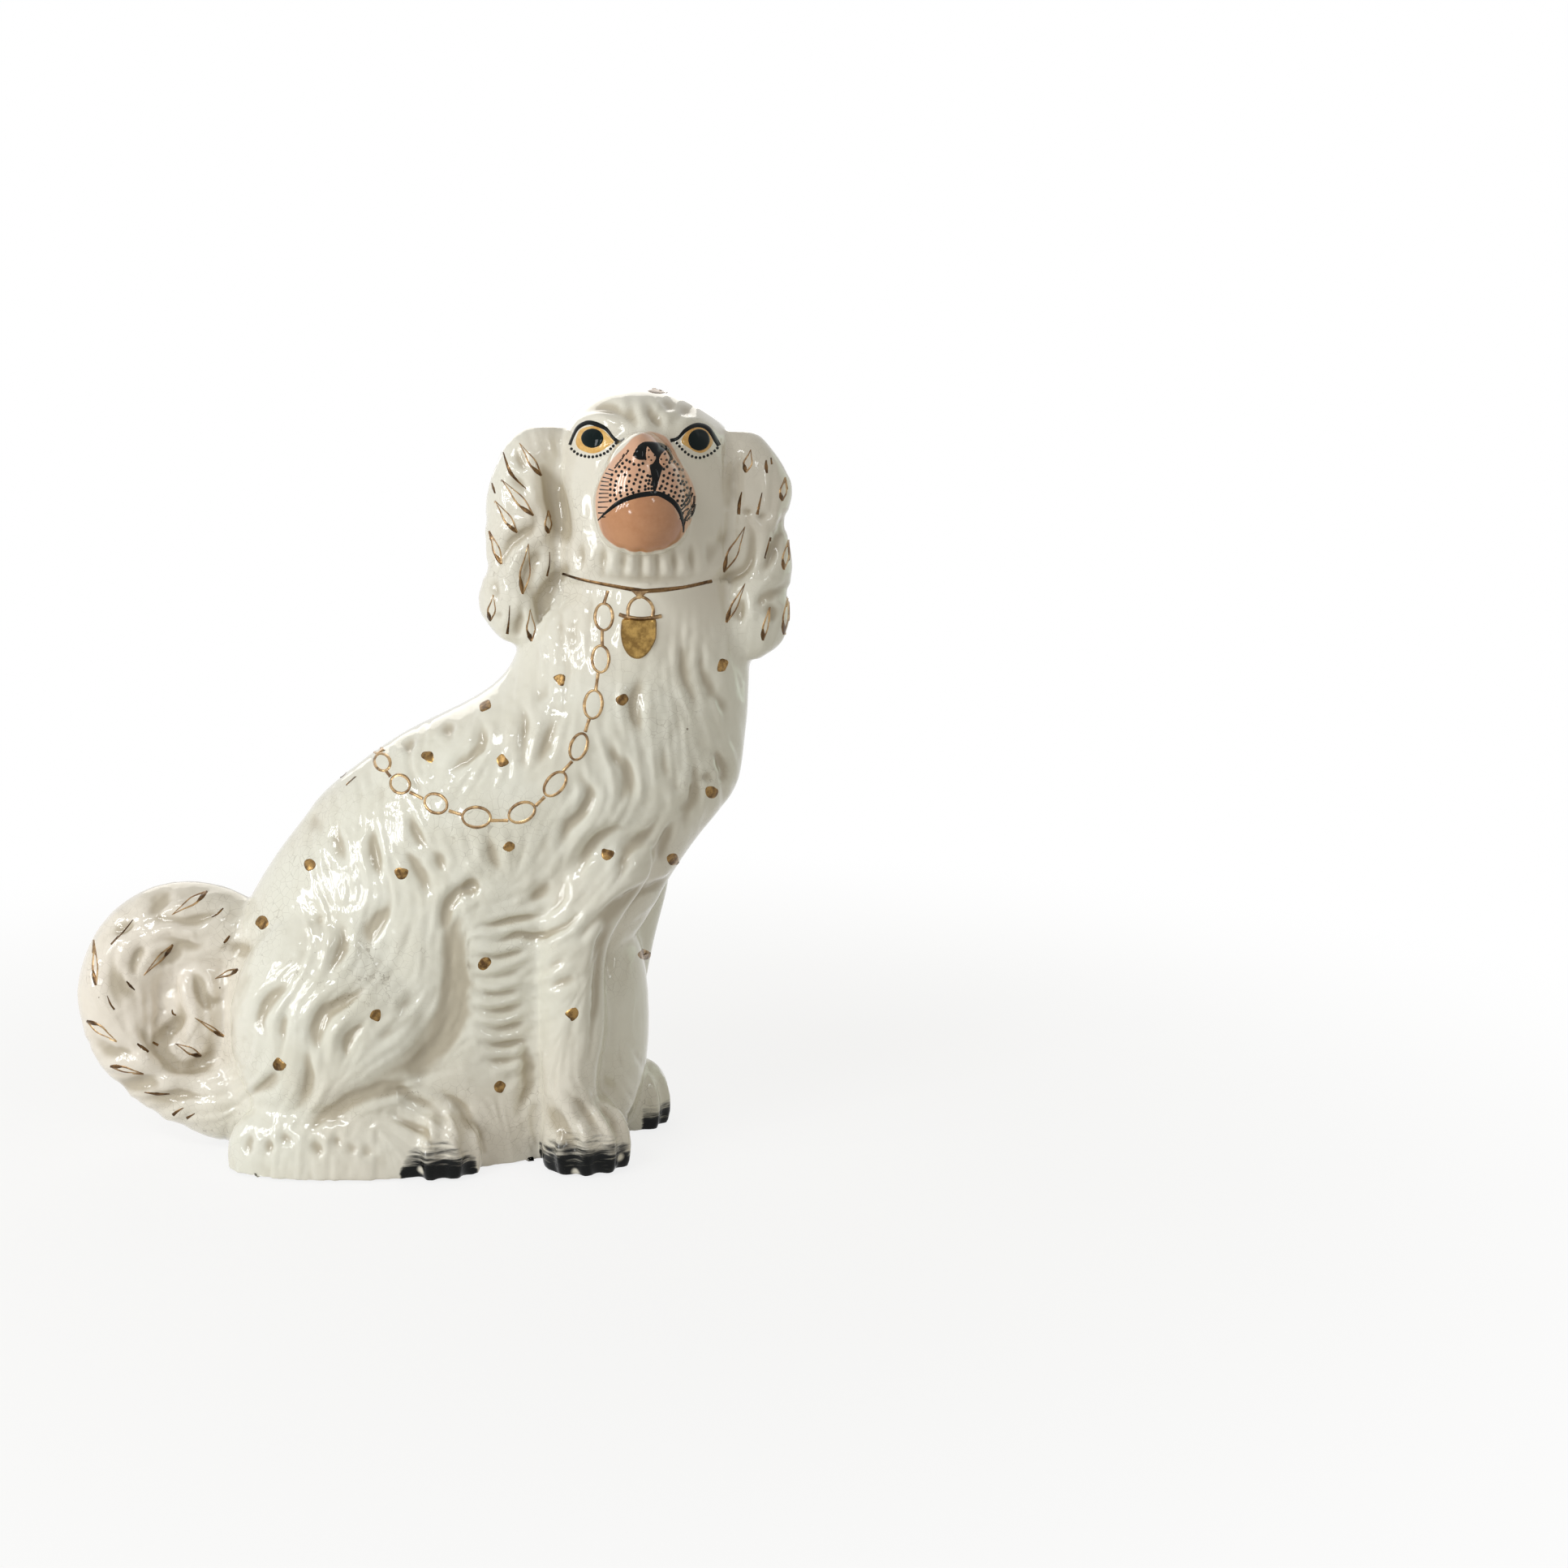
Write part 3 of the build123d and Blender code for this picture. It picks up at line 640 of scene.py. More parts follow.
def link_mounds():
    """The low white mounds under the chain's oval links."""
    for x, y, width, height, turn in link_ovals:
        upright = abs(math.cos(math.radians(turn)))
        across = width * upright + height * (1 - upright)
        down = height * upright + width * (1 - upright)
        yield x, y, across / 2 + link_mound_margin, down / 2 + link_mound_margin, link_mound_rise


# Glazed skin: the shells, legs and tail as one soft surface
skin_nodes = (
    "body_front_shell", "body_back_shell", "head_front_shell", "head_back_shell",
    "near_foreleg", "far_foreleg", "tail",
)


def copy_of(node, name):
    """A copy of a CAD node's mesh as a new object."""
    piece = bpy.data.objects.new(name, nodes[node].data.copy())
    bpy.context.scene.collection.objects.link(piece)
    return piece


def make_skin():
    """One closed skin round the whole figure, softened as glaze softens it."""
    copies = [copy_of(node, "skin") for node in skin_nodes + ("base_plate",)]
    plate_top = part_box("base_plate")[1].z
    bpy.ops.object.select_all(action="DESELECT")
    bpy.ops.mesh.primitive_cube_add(size=1, location=(*vent_place, plate_top / 2 + vent_plug_rise))
    plug = bpy.context.object
    plug.scale = (vent_plug_width, vent_plug_width, plate_top)
    bpy.ops.object.transform_apply(location=True, rotation=True, scale=True)
    bpy.ops.mesh.primitive_uv_sphere_add(radius=1, location=leg_web_middle, scale=leg_web_reach)
    web = bpy.context.object
    bpy.ops.object.transform_apply(location=True, rotation=True, scale=True)
    skin = joined("skin", copies + [plug, web])
    merge_doubles(skin)
    remesh = skin.modifiers.new("clay", "REMESH")
    remesh.mode = "VOXEL"
    remesh.voxel_size = voxel
    apply_modifiers(skin)
    bpy.ops.mesh.separate(type="LOOSE")
    parts = sorted(bpy.context.selected_objects, key=lambda part: part.dimensions.length)
    skin = parts.pop()
    for part in parts:
        bpy.data.objects.remove(part)
    skin.name = "skin"
    smoothed(skin, soften_rounds)
    return skin


def soften_creases(skin):
    """Rounds the inner corners of the skin, as glaze pools in them."""
    points, normals, ends = points_of(skin), normals_of(skin), edge_ends(skin)
    around = neighbour_sums(ends, np.ones(len(points)))
    pulled = np.column_stack([neighbour_sums(ends, points[:, axis]) for axis in range(3)])
    hollow = ((pulled / around[:, None] - points) * normals).sum(1) > crease_bend
    for _ in range(crease_rings):
        hollow = neighbour_sums(ends, hollow) > 0
    group = skin.vertex_groups.new(name="creases")
    group.add(np.flatnonzero(hollow).tolist(), 1, "REPLACE")
    smoothed(skin, crease_rounds, group.name)
    skin.vertex_groups.clear()


def nearest_nodes(points):
    """The index in skin_nodes of the node nearest to each point."""
    corners, faces, owner = [], [], []
    for index, node in enumerate(skin_nodes):
        mesh = nodes[node].data
        mesh.calc_loop_triangles()
        start = len(corners)
        corners.extend(v.co for v in mesh.vertices)
        faces.extend([start + i for i in triangle.vertices] for triangle in mesh.loop_triangles)
        owner.extend([index] * len(mesh.loop_triangles))
    tree = BVHTree.FromPolygons(corners, faces)
    return np.array([owner[tree.find_nearest(Vector(point))[2]] for point in points])


def settled(owners, skin, rounds=8):
    """Owners with their boundaries smoothed, so that each node's share of the skin is one patch."""
    ends = edge_ends(skin)
    votes = np.array([owners == index for index in range(len(skin_nodes))], float)
    for _ in range(rounds):
        votes = np.array([vote + neighbour_sums(ends, vote) for vote in votes])
        votes /= votes.sum(0)
    return votes.argmax(0)


def mirrored_pixels(points, hidden):
    """The pixels of points, where those of the hidden side take the pixels of their mirror image."""
    across, down = seen_at(points)
    mirrored = points.copy()
    mirrored[:, 1] *= -1
    across[hidden], down[hidden] = (side[hidden] for side in seen_at(mirrored))
    return across, down


def fur_relief(of_head, shown, across, down):
    """The furrows and locks of fur at each pixel, calmer where the chain lies."""
    relief = np.zeros(len(across))
    relief[of_head] = furrow_relief(head_furrows, across[of_head], down[of_head])
    relief[~of_head] = furrow_relief(coat_furrows, across[~of_head], down[~of_head])
    on_ears = of_head & ((across < left_ear_edge) | (across > right_ear_edge))
    ear_locks = lock_relief(head_furrows, across[on_ears], down[on_ears])
    relief[on_ears] += lock_height * ear_lock_share * ear_locks
    relief[~of_head] += lock_height * lock_relief(coat_furrows, across[~of_head], down[~of_head])
    link_line = np.array([oval[:2] for oval in link_ovals], float)
    away = distance_to(link_line, across, down)[0]
    cleared = shown & ~of_head
    relief[cleared] *= (1 - chain_clearing_share * np.exp(-((away / chain_clearing) ** 2)))[cleared]
    return relief


def colour_muzzle(skin, face, across, down):
    """Stores where the skin is flesh, and where that flesh is the darker chin, which is partly painted shade
    under the muzzle.
    """
    flesh, chin = np.zeros(len(face)), np.zeros(len(face))
    flesh[face] = painted_area(muzzle_left + muzzle_right + chin_line[1:], across[face], down[face])
    chin[face] = painted_area(mouth_line + chin_line[1:], across[face], down[face], chin_edge_softness)
    keep_attribute(skin, "flesh", flesh)
    keep_attribute(skin, "chin", chin)


def blacken_toes(skin, owners, shown, across):
    """Stores how black the enamel on the toes is: full at the floor, and fading upwards."""
    points = points_of(skin)
    toes = np.zeros(len(points))
    near_paw, hind_paw = owners == 4, (owners == 0) & shown
    for (start, end, reach), paw in ((near_toes, near_paw), (hind_toes, hind_paw)):
        swell = np.sqrt(np.clip(1 - (2 * (across - start) / (end - start) - 1) ** 2, 0.0001, 1))
        band = np.clip(toe_black_top - points[:, 2] / (reach * swell), 0, 1)
        toes = np.maximum(toes, paw * band * np.clip(swell * 4 - 1, 0, 1))
    front = np.clip((points[:, 0] - far_toes_from) / far_toes_fade, 0, 1)
    band = np.clip(toe_black_top - points[:, 2] / far_toes_height, 0, 1)
    keep_attribute(skin, "toe_enamel", np.maximum(toes, (owners == 5) * front * band))


def press_relief(skin):
    """Moves the skin's points along its normals by the moulded fur, and stores what the glaze needs."""
    points, normals = points_of(skin), normals_of(skin)
    owners = nearest_nodes(points)
    of_head = (owners == 2) | (owners == 3)
    shown = points[:, 1] < seam_depth
    across, down = mirrored_pixels(points, ~shown)
    side_facing = np.clip(np.abs(normals[:, 1]) * shown_side_gain, 0, 1)
    relief = fur_relief(of_head, shown, across, down) * np.where(shown, 1.0, back_strength) * side_facing
    mounds = swelling_relief(swellings + tuple(link_mounds()), across, down) * shown * side_facing
    lobes = swelling_relief(ear_lobes, across, down) * of_head * (1 - 0.6 * side_facing)
    moved = points + normals * (relief + mounds + lobes - skin_inset)[:, None]
    moved[:, 2] = np.maximum(moved[:, 2], lowest_glaze)
    place_points(skin, moved)
    # The hollow attribute grows with furrow depth and drives the furrows' darkening: part pooled glaze, part
    # painted shade
    keep_attribute(skin, "hollow", np.clip(-relief / full_shade_depth, 0, 1))
    in_face = np.abs(across - face_middle[0]) < face_half_size[0]
    in_face &= np.abs(down - face_middle[1]) < face_half_size[1]
    colour_muzzle(skin, shown & of_head & in_face, across, down)
    blacken_toes(skin, owners, shown, across)
    owner_attribute = skin.data.attributes.new("owner", "INT", "POINT")
    owner_attribute.data.foreach_set("value", settled(owners, skin).astype(np.int32))
    only(skin)
    bpy.ops.object.shade_smooth()


def clean_normals(piece, inside):
    """Gives every point the normal that the whole skin has there, so that no seam shows."""
    count = len(piece.data.vertices)
    normals = np.empty(count * 3, np.float32)
    piece.data.attributes["glaze_normal"].data.foreach_get("vector", normals)
    normals = normals.reshape(-1, 3)
    inner = np.zeros(count, bool)
    for vertex in piece.data.vertices:
        inner[vertex.index] = any(group.group == inside and group.weight > 0.5 for group in vertex.groups)
    normals[inner] *= -1
    piece.data.normals_split_custom_set_from_vertices(normals)
    piece.data.attributes.remove(piece.data.attributes["glaze_normal"])


def give_wall(piece):
    """Gives a patch of skin its wall of clay, with a plainer inner side, and so closes it."""
    only(piece)
    bpy.ops.object.mode_set(mode="EDIT")
    bpy.ops.mesh.select_mode(type="VERT")
    bpy.ops.mesh.select_all(action="DESELECT")
    bpy.ops.mesh.select_non_manifold()
    bpy.ops.object.mode_set(mode="OBJECT")
    count = len(piece.data.vertices)
    rim = np.empty(count, bool)
    piece.data.vertices.foreach_get("select", rim)
    inside = piece.vertex_groups.new(name="inside")
    wall = piece.modifiers.new("wall", "SOLIDIFY")
    wall.thickness = clay_wall
    wall.offset = -1
    wall.shell_vertex_group = inside.name
    apply_modifiers(piece)
    points = points_of(piece)
    ways = np.empty(len(points) * 3, np.float32)
    piece.data.attributes["glaze_normal"].data.foreach_get("vector", ways)
    points[count:] = points[:count] - ways.reshape(-1, 3)[:count] * clay_wall
    place_points(piece, points)
    select_none(piece)
    piece.data.vertices.foreach_set("select", np.concatenate((np.zeros(count, bool), ~rim)))
    bpy.ops.object.mode_set(mode="EDIT")
    bpy.ops.mesh.decimate(ratio=inner_wall_share)
    bpy.ops.object.mode_set(mode="OBJECT")
    points = points_of(piece)
    points[:, 2] = np.maximum(points[:, 2], 0)
    place_points(piece, points)
    clean_normals(piece, inside.index)
    piece.vertex_groups.clear()


def split_skin(skin):
    """Splits the skin into one walled and glazed piece for each node that it stands for."""
    whole = skin.data.attributes.new("glaze_normal", "FLOAT_VECTOR", "POINT")
    whole.data.foreach_set("vector", normals_of(skin).astype(np.float32).ravel())
    for index, node in enumerate(skin_nodes):
        owners = np.empty(len(skin.data.vertices), np.int32)
        skin.data.attributes["owner"].data.foreach_get("value", owners)
        first_corners = np.empty(len(skin.data.polygons), np.int32)
        skin.data.polygons.foreach_get("loop_start", first_corners)
        corner_points = np.empty(len(skin.data.loops), np.int32)
        skin.data.loops.foreach_get("vertex_index", corner_points)
        chosen = owners[corner_points[first_corners]] == index
        only(skin)
        if index < len(skin_nodes) - 1:
            select_none(skin)
            skin.data.polygons.foreach_set("select", chosen)
            bpy.ops.object.mode_set(mode="EDIT")
            bpy.ops.mesh.select_mode(type="FACE")
            bpy.ops.mesh.separate(type="SELECTED")
            bpy.ops.object.mode_set(mode="OBJECT")
            piece = next(o for o in bpy.context.selected_objects if o is not skin)
        else:
            piece = skin
        give_wall(piece)
        piece.name = piece.data.name = node.replace("_shell", "") + "_glaze"
        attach(piece, "root")
        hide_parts(node)
        coat_with(piece, cream)


skin = make_skin()
soften_creases(skin)
press_relief(skin)
skin_tree = BVHTree.FromObject(skin, bpy.context.evaluated_depsgraph_get())


# Brushwork: gilding and enamels laid on the glaze
def glaze_spot(across, down, lift):
    """The point of the glaze that is seen at a pixel, raised along the normal by lift."""
    sight = line_of_sight(across, down)
    place, normal, _, _ = skin_tree.ray_cast(camera_place, sight)
    if place is None:
        place, normal, _, _ = skin_tree.find_nearest(camera_place + sight * figure_distance)
    return place + normal * lift


def laid_sheet(columns, rows, spot):
    """A thin sheet of columns by rows; spot says which pixel and lift each of its points takes."""
    bpy.ops.mesh.primitive_grid_add(x_subdivisions=columns, y_subdivisions=rows, size=2)
    sheet = bpy.context.object
    for vertex in sheet.data.vertices:
        vertex.co = glaze_spot(*spot((vertex.co.x + 1) / 2, vertex.co.y))
    return sheet


def brush_line(corners, widths, lift=paint_lift, closed=False):
    """A brushed line through pixels, with widths in pixels from its start to its end."""
    line = smooth_line(corners, 1.0, closed)
    columns = max(6, int(run_along(line)[-1] / brush_step))
    line = cut_evenly(line, columns)
    heading = np.roll(line, -1, 0) - np.roll(line, 1, 0)
    if closed:
        heading[0] = heading[-1] = line[1] - line[-2]
    else:
        heading[0], heading[-1] = line[1] - line[0], line[-1] - line[-2]
    heading /= np.linalg.norm(heading, axis=1)[:, None]
    width = np.interp(np.linspace(0, 1, columns + 1), np.linspace(0, 1, len(widths)), widths)

    def spot(along, side):
        index = int(round(along * columns))
        x = line[index][0] - heading[index][1] * side * width[index] / 2
        y = line[index][1] + heading[index][0] * side * width[index] / 2
        return x, y, lift * (1 - side**2) - paint_sink

    return laid_sheet(columns, 4, spot)


def brush_patch(outline, lift, rings):
    """A filled patch inside an outline of pixels, which rises to its lift within one ring of its edge."""
    edge = smooth_line(outline, 1.5, True)
    middle = edge.mean(0)
    runs = run_along(edge)
    columns = max(10, int(runs[-1] / patch_step))

    def spot(out, turn):
        run = (turn + 1) / 2 * runs[-1]
        rim = np.array([np.interp(run, runs, edge[:, axis]) for axis in (0, 1)])
        x, y = middle + (rim - middle) * out
        return x, y, lift * min(1, (1 - out) * rings) - paint_sink

    return laid_sheet(rings, columns, spot)


def finish_paint(name, sheets, material, slot, *stands_for):
    """Joins sheets of paint to one closed piece with its material."""
    piece = joined(name, sheets)
    merge_doubles(piece)
    turn_to_camera(piece)
    body = piece.modifiers.new("body", "SOLIDIFY")
    body.thickness = paint_body
    body.offset = -1
    apply_modifiers(piece)
    coat_with(piece, material)
    bpy.ops.object.shade_smooth_by_angle(angle=paint_edge_angle)
    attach(piece, "root")
    if stands_for:
        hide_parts(*stands_for)


def turn_to_camera(piece):
    """Turns over the faces of a sheet that face away from the camera that it was laid from."""
    for face in piece.data.polygons:
        face.select = face.normal.dot(camera_place - face.center) < 0
    bpy.ops.object.mode_set(mode="EDIT")
    bpy.ops.mesh.select_mode(type="FACE")
    bpy.ops.mesh.flip_normals()
    bpy.ops.object.mode_set(mode="OBJECT")


def half_across(start, tip, width):
    """A step sideways from the line between two pixels by half of a width."""
    return np.array((start[1] - tip[1], tip[0] - start[0])) / np.linalg.norm(tip - start) * width / 2


def leaf(start, tip, width):
    """The gilt outline of one lock of fur: a fine line and a fuller one that meet in its tip."""
    start, tip = np.array(start, float), np.array(tip, float)
    aside = half_across(start, tip, width)
    upper, middle = start * 0.72 + tip * 0.28, start * 0.38 + tip * 0.62
    return [
        brush_line((start, upper - aside * 0.5, middle - aside, tip), (0.9, 1.5, 1.9, 2.2, 2.6)),
        brush_line((start, upper + aside * 0.4, middle + aside, tip), (1.1, 1.8, 2.6, 3.2, 3.6)),
    ]


def loaded_tip(start, tip, width):
    """The dark dab where the brush ended a lock of fur."""
    start, tip = np.array(start, float), np.array(tip, float)
    aside = half_across(start, tip, width)
    upper, middle = start * 0.34 + tip * 0.66, start * 0.14 + tip * 0.86
    corners = (upper + aside * 0.95, middle + aside * 0.4, tip)
    return brush_line(corners, (2.2, 4.4, 6.0, 5.0, 2.8), loaded_lift)


def turned_oval(x, y, width, height, turn, corners=8):
    """Pixels round an oval whose height leans by turn degrees."""
    angle = math.radians(turn)
    pixels = []
    for step in range(corners):
        around = 2 * math.pi * step / corners
        right, up = math.cos(around) * width / 2, math.sin(around) * height / 2
        pixels.append((x + right * math.cos(angle) - up * math.sin(angle),
                       y + right * math.sin(angle) + up * math.cos(angle)))
    return pixels


# Shared effects of the finishes
def new_group(name, numbers, outputs):
    """A node group, its input and result nodes, and the place that its patterns read."""
    group = bpy.data.node_groups.new(name, "ShaderNodeTree")
    for label, value in numbers:
        socket = group.interface.new_socket(label, in_out="INPUT", socket_type="NodeSocketFloat")
        socket.default_value = value
    for label in outputs:
        group.interface.new_socket(label, in_out="OUTPUT", socket_type="NodeSocketFloat")
    given = group.nodes.new("NodeGroupInput")
    result = group.nodes.new("NodeGroupOutput")
    place = group.nodes.new("ShaderNodeTexCoord").outputs["Object"]
    return group, given, result, place


def pattern(tree, kind, place, scale, **settings):
    """A texture node of a kind that reads a place at a scale; inputs are set by name."""
    node = tree.nodes.new(kind)
    for name, value in settings.items():
        if hasattr(node, name):
            setattr(node, name, value)
        else:
            node.inputs[name.capitalize()].default_value = value
    tree.links.new(place, node.inputs["Vector"])
    if isinstance(scale, (int, float)):
        node.inputs["Scale"].default_value = scale
    else:
        tree.links.new(scale, node.inputs["Scale"])
    return node


def sums(tree, operation, *values):
    """A math node whose inputs are numbers or sockets; gives its output."""
    node = tree.nodes.new("ShaderNodeMath")
    node.operation = operation
    for socket, value in zip(node.inputs, values):
        if isinstance(value, (int, float)):
            socket.default_value = value
        else:
            tree.links.new(value, socket)
    return node.outputs[0]


def ramp(tree, value, low, high, from_value=0.0, to_value=1.0):
    """A smooth step from one value to another as the input goes from low to high."""
    node = tree.nodes.new("ShaderNodeMapRange")
    node.interpolation_type = "SMOOTHSTEP"
    tree.links.new(value, node.inputs["Value"])
    ends = {"From Min": low, "From Max": high, "To Min": from_value, "To Max": to_value}
    for label, number in ends.items():
        node.inputs[label].default_value = number
    return node.outputs["Result"]


def blend_colours(tree, share, first, second):
    """Mixes two colours, each given as numbers or as a socket, by a share that a socket gives."""
    node = tree.nodes.new("ShaderNodeMix")
    node.data_type = "RGBA"
    tree.links.new(share, node.inputs["Factor"])
    for label, colour in (("A", first), ("B", second)):
        socket = next(s for s in node.inputs if s.name == label and s.type == "RGBA")
        if isinstance(colour, tuple):
            socket.default_value = colour + (1,)
        else:
            tree.links.new(colour, socket)
    return next(s for s in node.outputs if s.type == "RGBA")


def crazing_group():
    """Fine crackle lines in the glaze, soft mottling, and specks of grit."""
    group, given, result, place = new_group(
        "glaze_crazing", (("Cell Scale", 230.0), ("Line Width", 0.02)),
        ("Lines", "Mottle", "Broad", "Wisps", "Specks", "Ripple"),
    )
    bent = group.nodes.new("ShaderNodeVectorMath")
    bent.operation = "MULTIPLY_ADD"
    waver = pattern(group, "ShaderNodeTexNoise", place, 60.0, detail=2.0)
    group.links.new(waver.outputs["Color"], bent.inputs[0])
    bent.inputs[1].default_value = (0.006, 0.006, 0.006)
    group.links.new(place, bent.inputs[2])
    cells = pattern(group, "ShaderNodeTexVoronoi", bent.outputs[0], given.outputs["Cell Scale"],
                    feature="DISTANCE_TO_EDGE")
    edge = sums(group, "DIVIDE", cells.outputs["Distance"], given.outputs["Line Width"])
    line = ramp(group, edge, 0.3, 1.4, 1.0, 0.0)
    patchy = pattern(group, "ShaderNodeTexNoise", place, 22.0, detail=3.0)
    shown = ramp(group, patchy.outputs["Fac"], 0.46, 0.66)
    group.links.new(sums(group, "MULTIPLY", line, shown), result.inputs["Lines"])
    mottle = pattern(group, "ShaderNodeTexNoise", place, 35.0, detail=5.0, roughness=0.6)
    group.links.new(mottle.outputs["Fac"], result.inputs["Mottle"])
    broad = pattern(group, "ShaderNodeTexNoise", place, 9.0, detail=2.0)
    group.links.new(broad.outputs["Fac"], result.inputs["Broad"])
    level = pattern(group, "ShaderNodeTexNoise", place, 75.0, detail=5.0, roughness=0.6)
    crossing = sums(group, "ABSOLUTE", sums(group, "SUBTRACT", level.outputs["Fac"], 0.5))
    hairline = ramp(group, crossing, 0.002, 0.010, 1.0, 0.0)
    broken = pattern(group, "ShaderNodeTexNoise", place, 160.0, detail=2.0)
    hairline = sums(group, "MULTIPLY", hairline, ramp(group, broken.outputs["Fac"], 0.46, 0.6))
    group.links.new(hairline, result.inputs["Wisps"])
    grit = pattern(group, "ShaderNodeTexVoronoi", place, 95.0, feature="F1")
    size = pattern(group, "ShaderNodeTexNoise", place, 48.0, detail=0.0)
    reach = ramp(group, size.outputs["Fac"], 0.62, 0.74, 0.0, 0.05)
    group.links.new(sums(group, "LESS_THAN", grit.outputs["Distance"], reach), result.inputs["Specks"])
    ripple = pattern(group, "ShaderNodeTexNoise", place, 120.0, detail=1.5)
    group.links.new(ripple.outputs["Fac"], result.inputs["Ripple"])
    return group


def brushing_group():
    """Streaks that a brush leaves, and patches where the paint is worn."""
    group, given, result, place = new_group(
        "brush_marks", (("Streak Scale", 420.0), ("Wear Scale", 160.0)), ("Streaks", "Wear"),
    )
    drawn = group.nodes.new("ShaderNodeMapping")
    drawn.inputs["Scale"].default_value = (0.14, 0.14, 1.0)
    group.links.new(place, drawn.inputs["Vector"])
    streaks = pattern(group, "ShaderNodeTexNoise", drawn.outputs["Vector"], given.outputs["Streak Scale"],
                      detail=3.0)
    group.links.new(streaks.outputs["Fac"], result.inputs["Streaks"])
    wear = pattern(group, "ShaderNodeTexNoise", place, given.outputs["Wear Scale"], detail=4.0,
                   roughness=0.65)
    group.links.new(wear.outputs["Fac"], result.inputs["Wear"])
    return group


crazing = crazing_group()
brushing = brushing_group()


def placed(tree, group, **numbers):
    """A node group placed in a material, with its numbers."""
    node = tree.nodes.new("ShaderNodeGroup")
    node.node_tree = group
    for name, value in numbers.items():
        node.inputs[name.replace("_", " ").title()].default_value = value
    return node


def new_finish(name, roughness):
    """A material with its tree and shader; the roughness is set on the shader itself."""
    material = bpy.data.materials.new(name)
    material.use_nodes = True
    shader = material.node_tree.nodes["Principled BSDF"]
    shader.inputs["Roughness"].default_value = roughness
    return material, material.node_tree, shader


def raise_by(tree, shader, height, distance, strength):
    """Bumps a shader's normal by a height."""
    bump = tree.nodes.new("ShaderNodeBump")
    bump.inputs["Distance"].default_value = distance
    bump.inputs["Strength"].default_value = strength
    tree.links.new(height, bump.inputs["Height"])
    tree.links.new(bump.outputs["Normal"], shader.inputs["Normal"])


def near_spots(tree, spots, radius):
    """How near the surface is to any of some places, from 0 to 1."""
    place = tree.nodes.new("ShaderNodeTexCoord").outputs["Object"]
    best = None
    for spot in spots:
        away = tree.nodes.new("ShaderNodeVectorMath")
        away.operation = "DISTANCE"
        tree.links.new(place, away.inputs[0])
        away.inputs[1].default_value = spot
        close = ramp(tree, away.outputs["Value"], radius * 0.25, radius, 1.0, 0.0)
        best = close if best is None else sums(tree, "MAXIMUM", best, close)
    return best


def kept(tree, name):
    """A number that is stored on the mesh."""
    attribute = tree.nodes.new("ShaderNodeAttribute")
    attribute.attribute_name = name
    return attribute.outputs["Fac"]


def tinted(tree, colour, tint, mask, strength):
    """A colour that turns to a tint by a mask's share of a strength."""
    return blend_colours(tree, sums(tree, "MULTIPLY", mask, strength), colour, tint)


def glaze_colour(tree):
    """The cream of the glaze: mottled, darkened to a warm brown in the furrows by pooled glaze and painted
    shade, rosy on the tail, crazed, stained and gritty.
    """
    marks = placed(tree, crazing, cell_scale=300.0, line_width=0.02)
    colour = blend_colours(tree, ramp(tree, marks.outputs["Mottle"], 0.3, 0.7), glaze_light, glaze_warm)
    colour = blend_colours(tree, ramp(tree, marks.outputs["Broad"], 0.42, 0.68), colour, glaze_rosy)
    colour = tinted(tree, colour, tail_rosy, near_spots(tree, (tail_middle,), tail_rosy_reach), 0.7)
    # Furrows turn warm brown: partly glaze pooled thick there, partly painted shade
    colour = tinted(tree, colour, pooled_glaze_and_shade, ramp(tree, kept(tree, "hollow"), 0.03, 0.9), 0.72)
    colour = tinted(tree, colour, stain_brown, marks.outputs["Lines"], 0.32)
    smudge = sums(tree, "MULTIPLY", near_spots(tree, stain_spots, stain_reach), marks.outputs["Wisps"])
    colour = tinted(tree, colour, stain_brown, smudge, 0.5)
    return tinted(tree, colour, stain_brown, marks.outputs["Specks"], 0.75), marks.outputs["Ripple"]


def cream_glaze():
    """Glossy cream glaze with a flesh muzzle and black-tipped toes."""
    material, tree, shader = new_finish("cream_glaze", 0.09)
    colour, ripple = glaze_colour(tree)
    brush = placed(tree, brushing, streak_scale=650.0, wear_scale=70.0)
    tone = ramp(tree, brush.outputs["Wear"], 0.3, 0.7)
    upper = blend_colours(tree, tone, flesh_light, flesh_deep)
    # The chin's flesh: its own darker paint, deepened further as painted shade under the muzzle
    lower = blend_colours(tree, tone, chin_flesh_and_shade, deep_chin_flesh_and_shade)
    flesh = blend_colours(tree, kept(tree, "chin"), upper, lower)
    colour = blend_colours(tree, ramp(tree, kept(tree, "flesh"), 0.2, 0.8), colour, flesh)
    toes = kept(tree, "toe_enamel")
    streaky = sums(tree, "MULTIPLY_ADD", sums(tree, "SUBTRACT", brush.outputs["Streaks"], 0.5), 1.5, toes)
    black = sums(tree, "MULTIPLY", ramp(tree, streaky, 0.2, 0.85), ramp(tree, toes, 0.02, 0.35))
    unchipped = sums(tree, "SUBTRACT", 1.0, near_spots(tree, chip_spots, chip_reach))
    black = sums(tree, "MULTIPLY", black, unchipped)
    tree.links.new(blend_colours(tree, black, colour, enamel_black), shader.inputs["Base Color"])
    tree.links.new(ramp(tree, toes, 0.2, 0.9, 0.5, 0.15), shader.inputs["Specular IOR Level"])
    raise_by(tree, shader, ripple, 0.25 * millimetre, 0.5)
    return material


def gilding(name, dark, bright, roughness):
    """Fired gold, rubbed thin and brown in places."""
    material, tree, shader = new_finish(name, roughness)
    brush = placed(tree, brushing, wear_scale=240.0)
    share = ramp(tree, brush.outputs["Wear"], 0.35, 0.65)
    tree.links.new(blend_colours(tree, share, dark, bright), shader.inputs["Base Color"])
    tree.links.new(ramp(tree, brush.outputs["Wear"], 0.3, 0.7, roughness + 0.15, roughness),
                   shader.inputs["Roughness"])
    shader.inputs["Metallic"].default_value = 0.85
    raise_by(tree, shader, brush.outputs["Wear"], 0.2 * millimetre, 0.5)
    return material


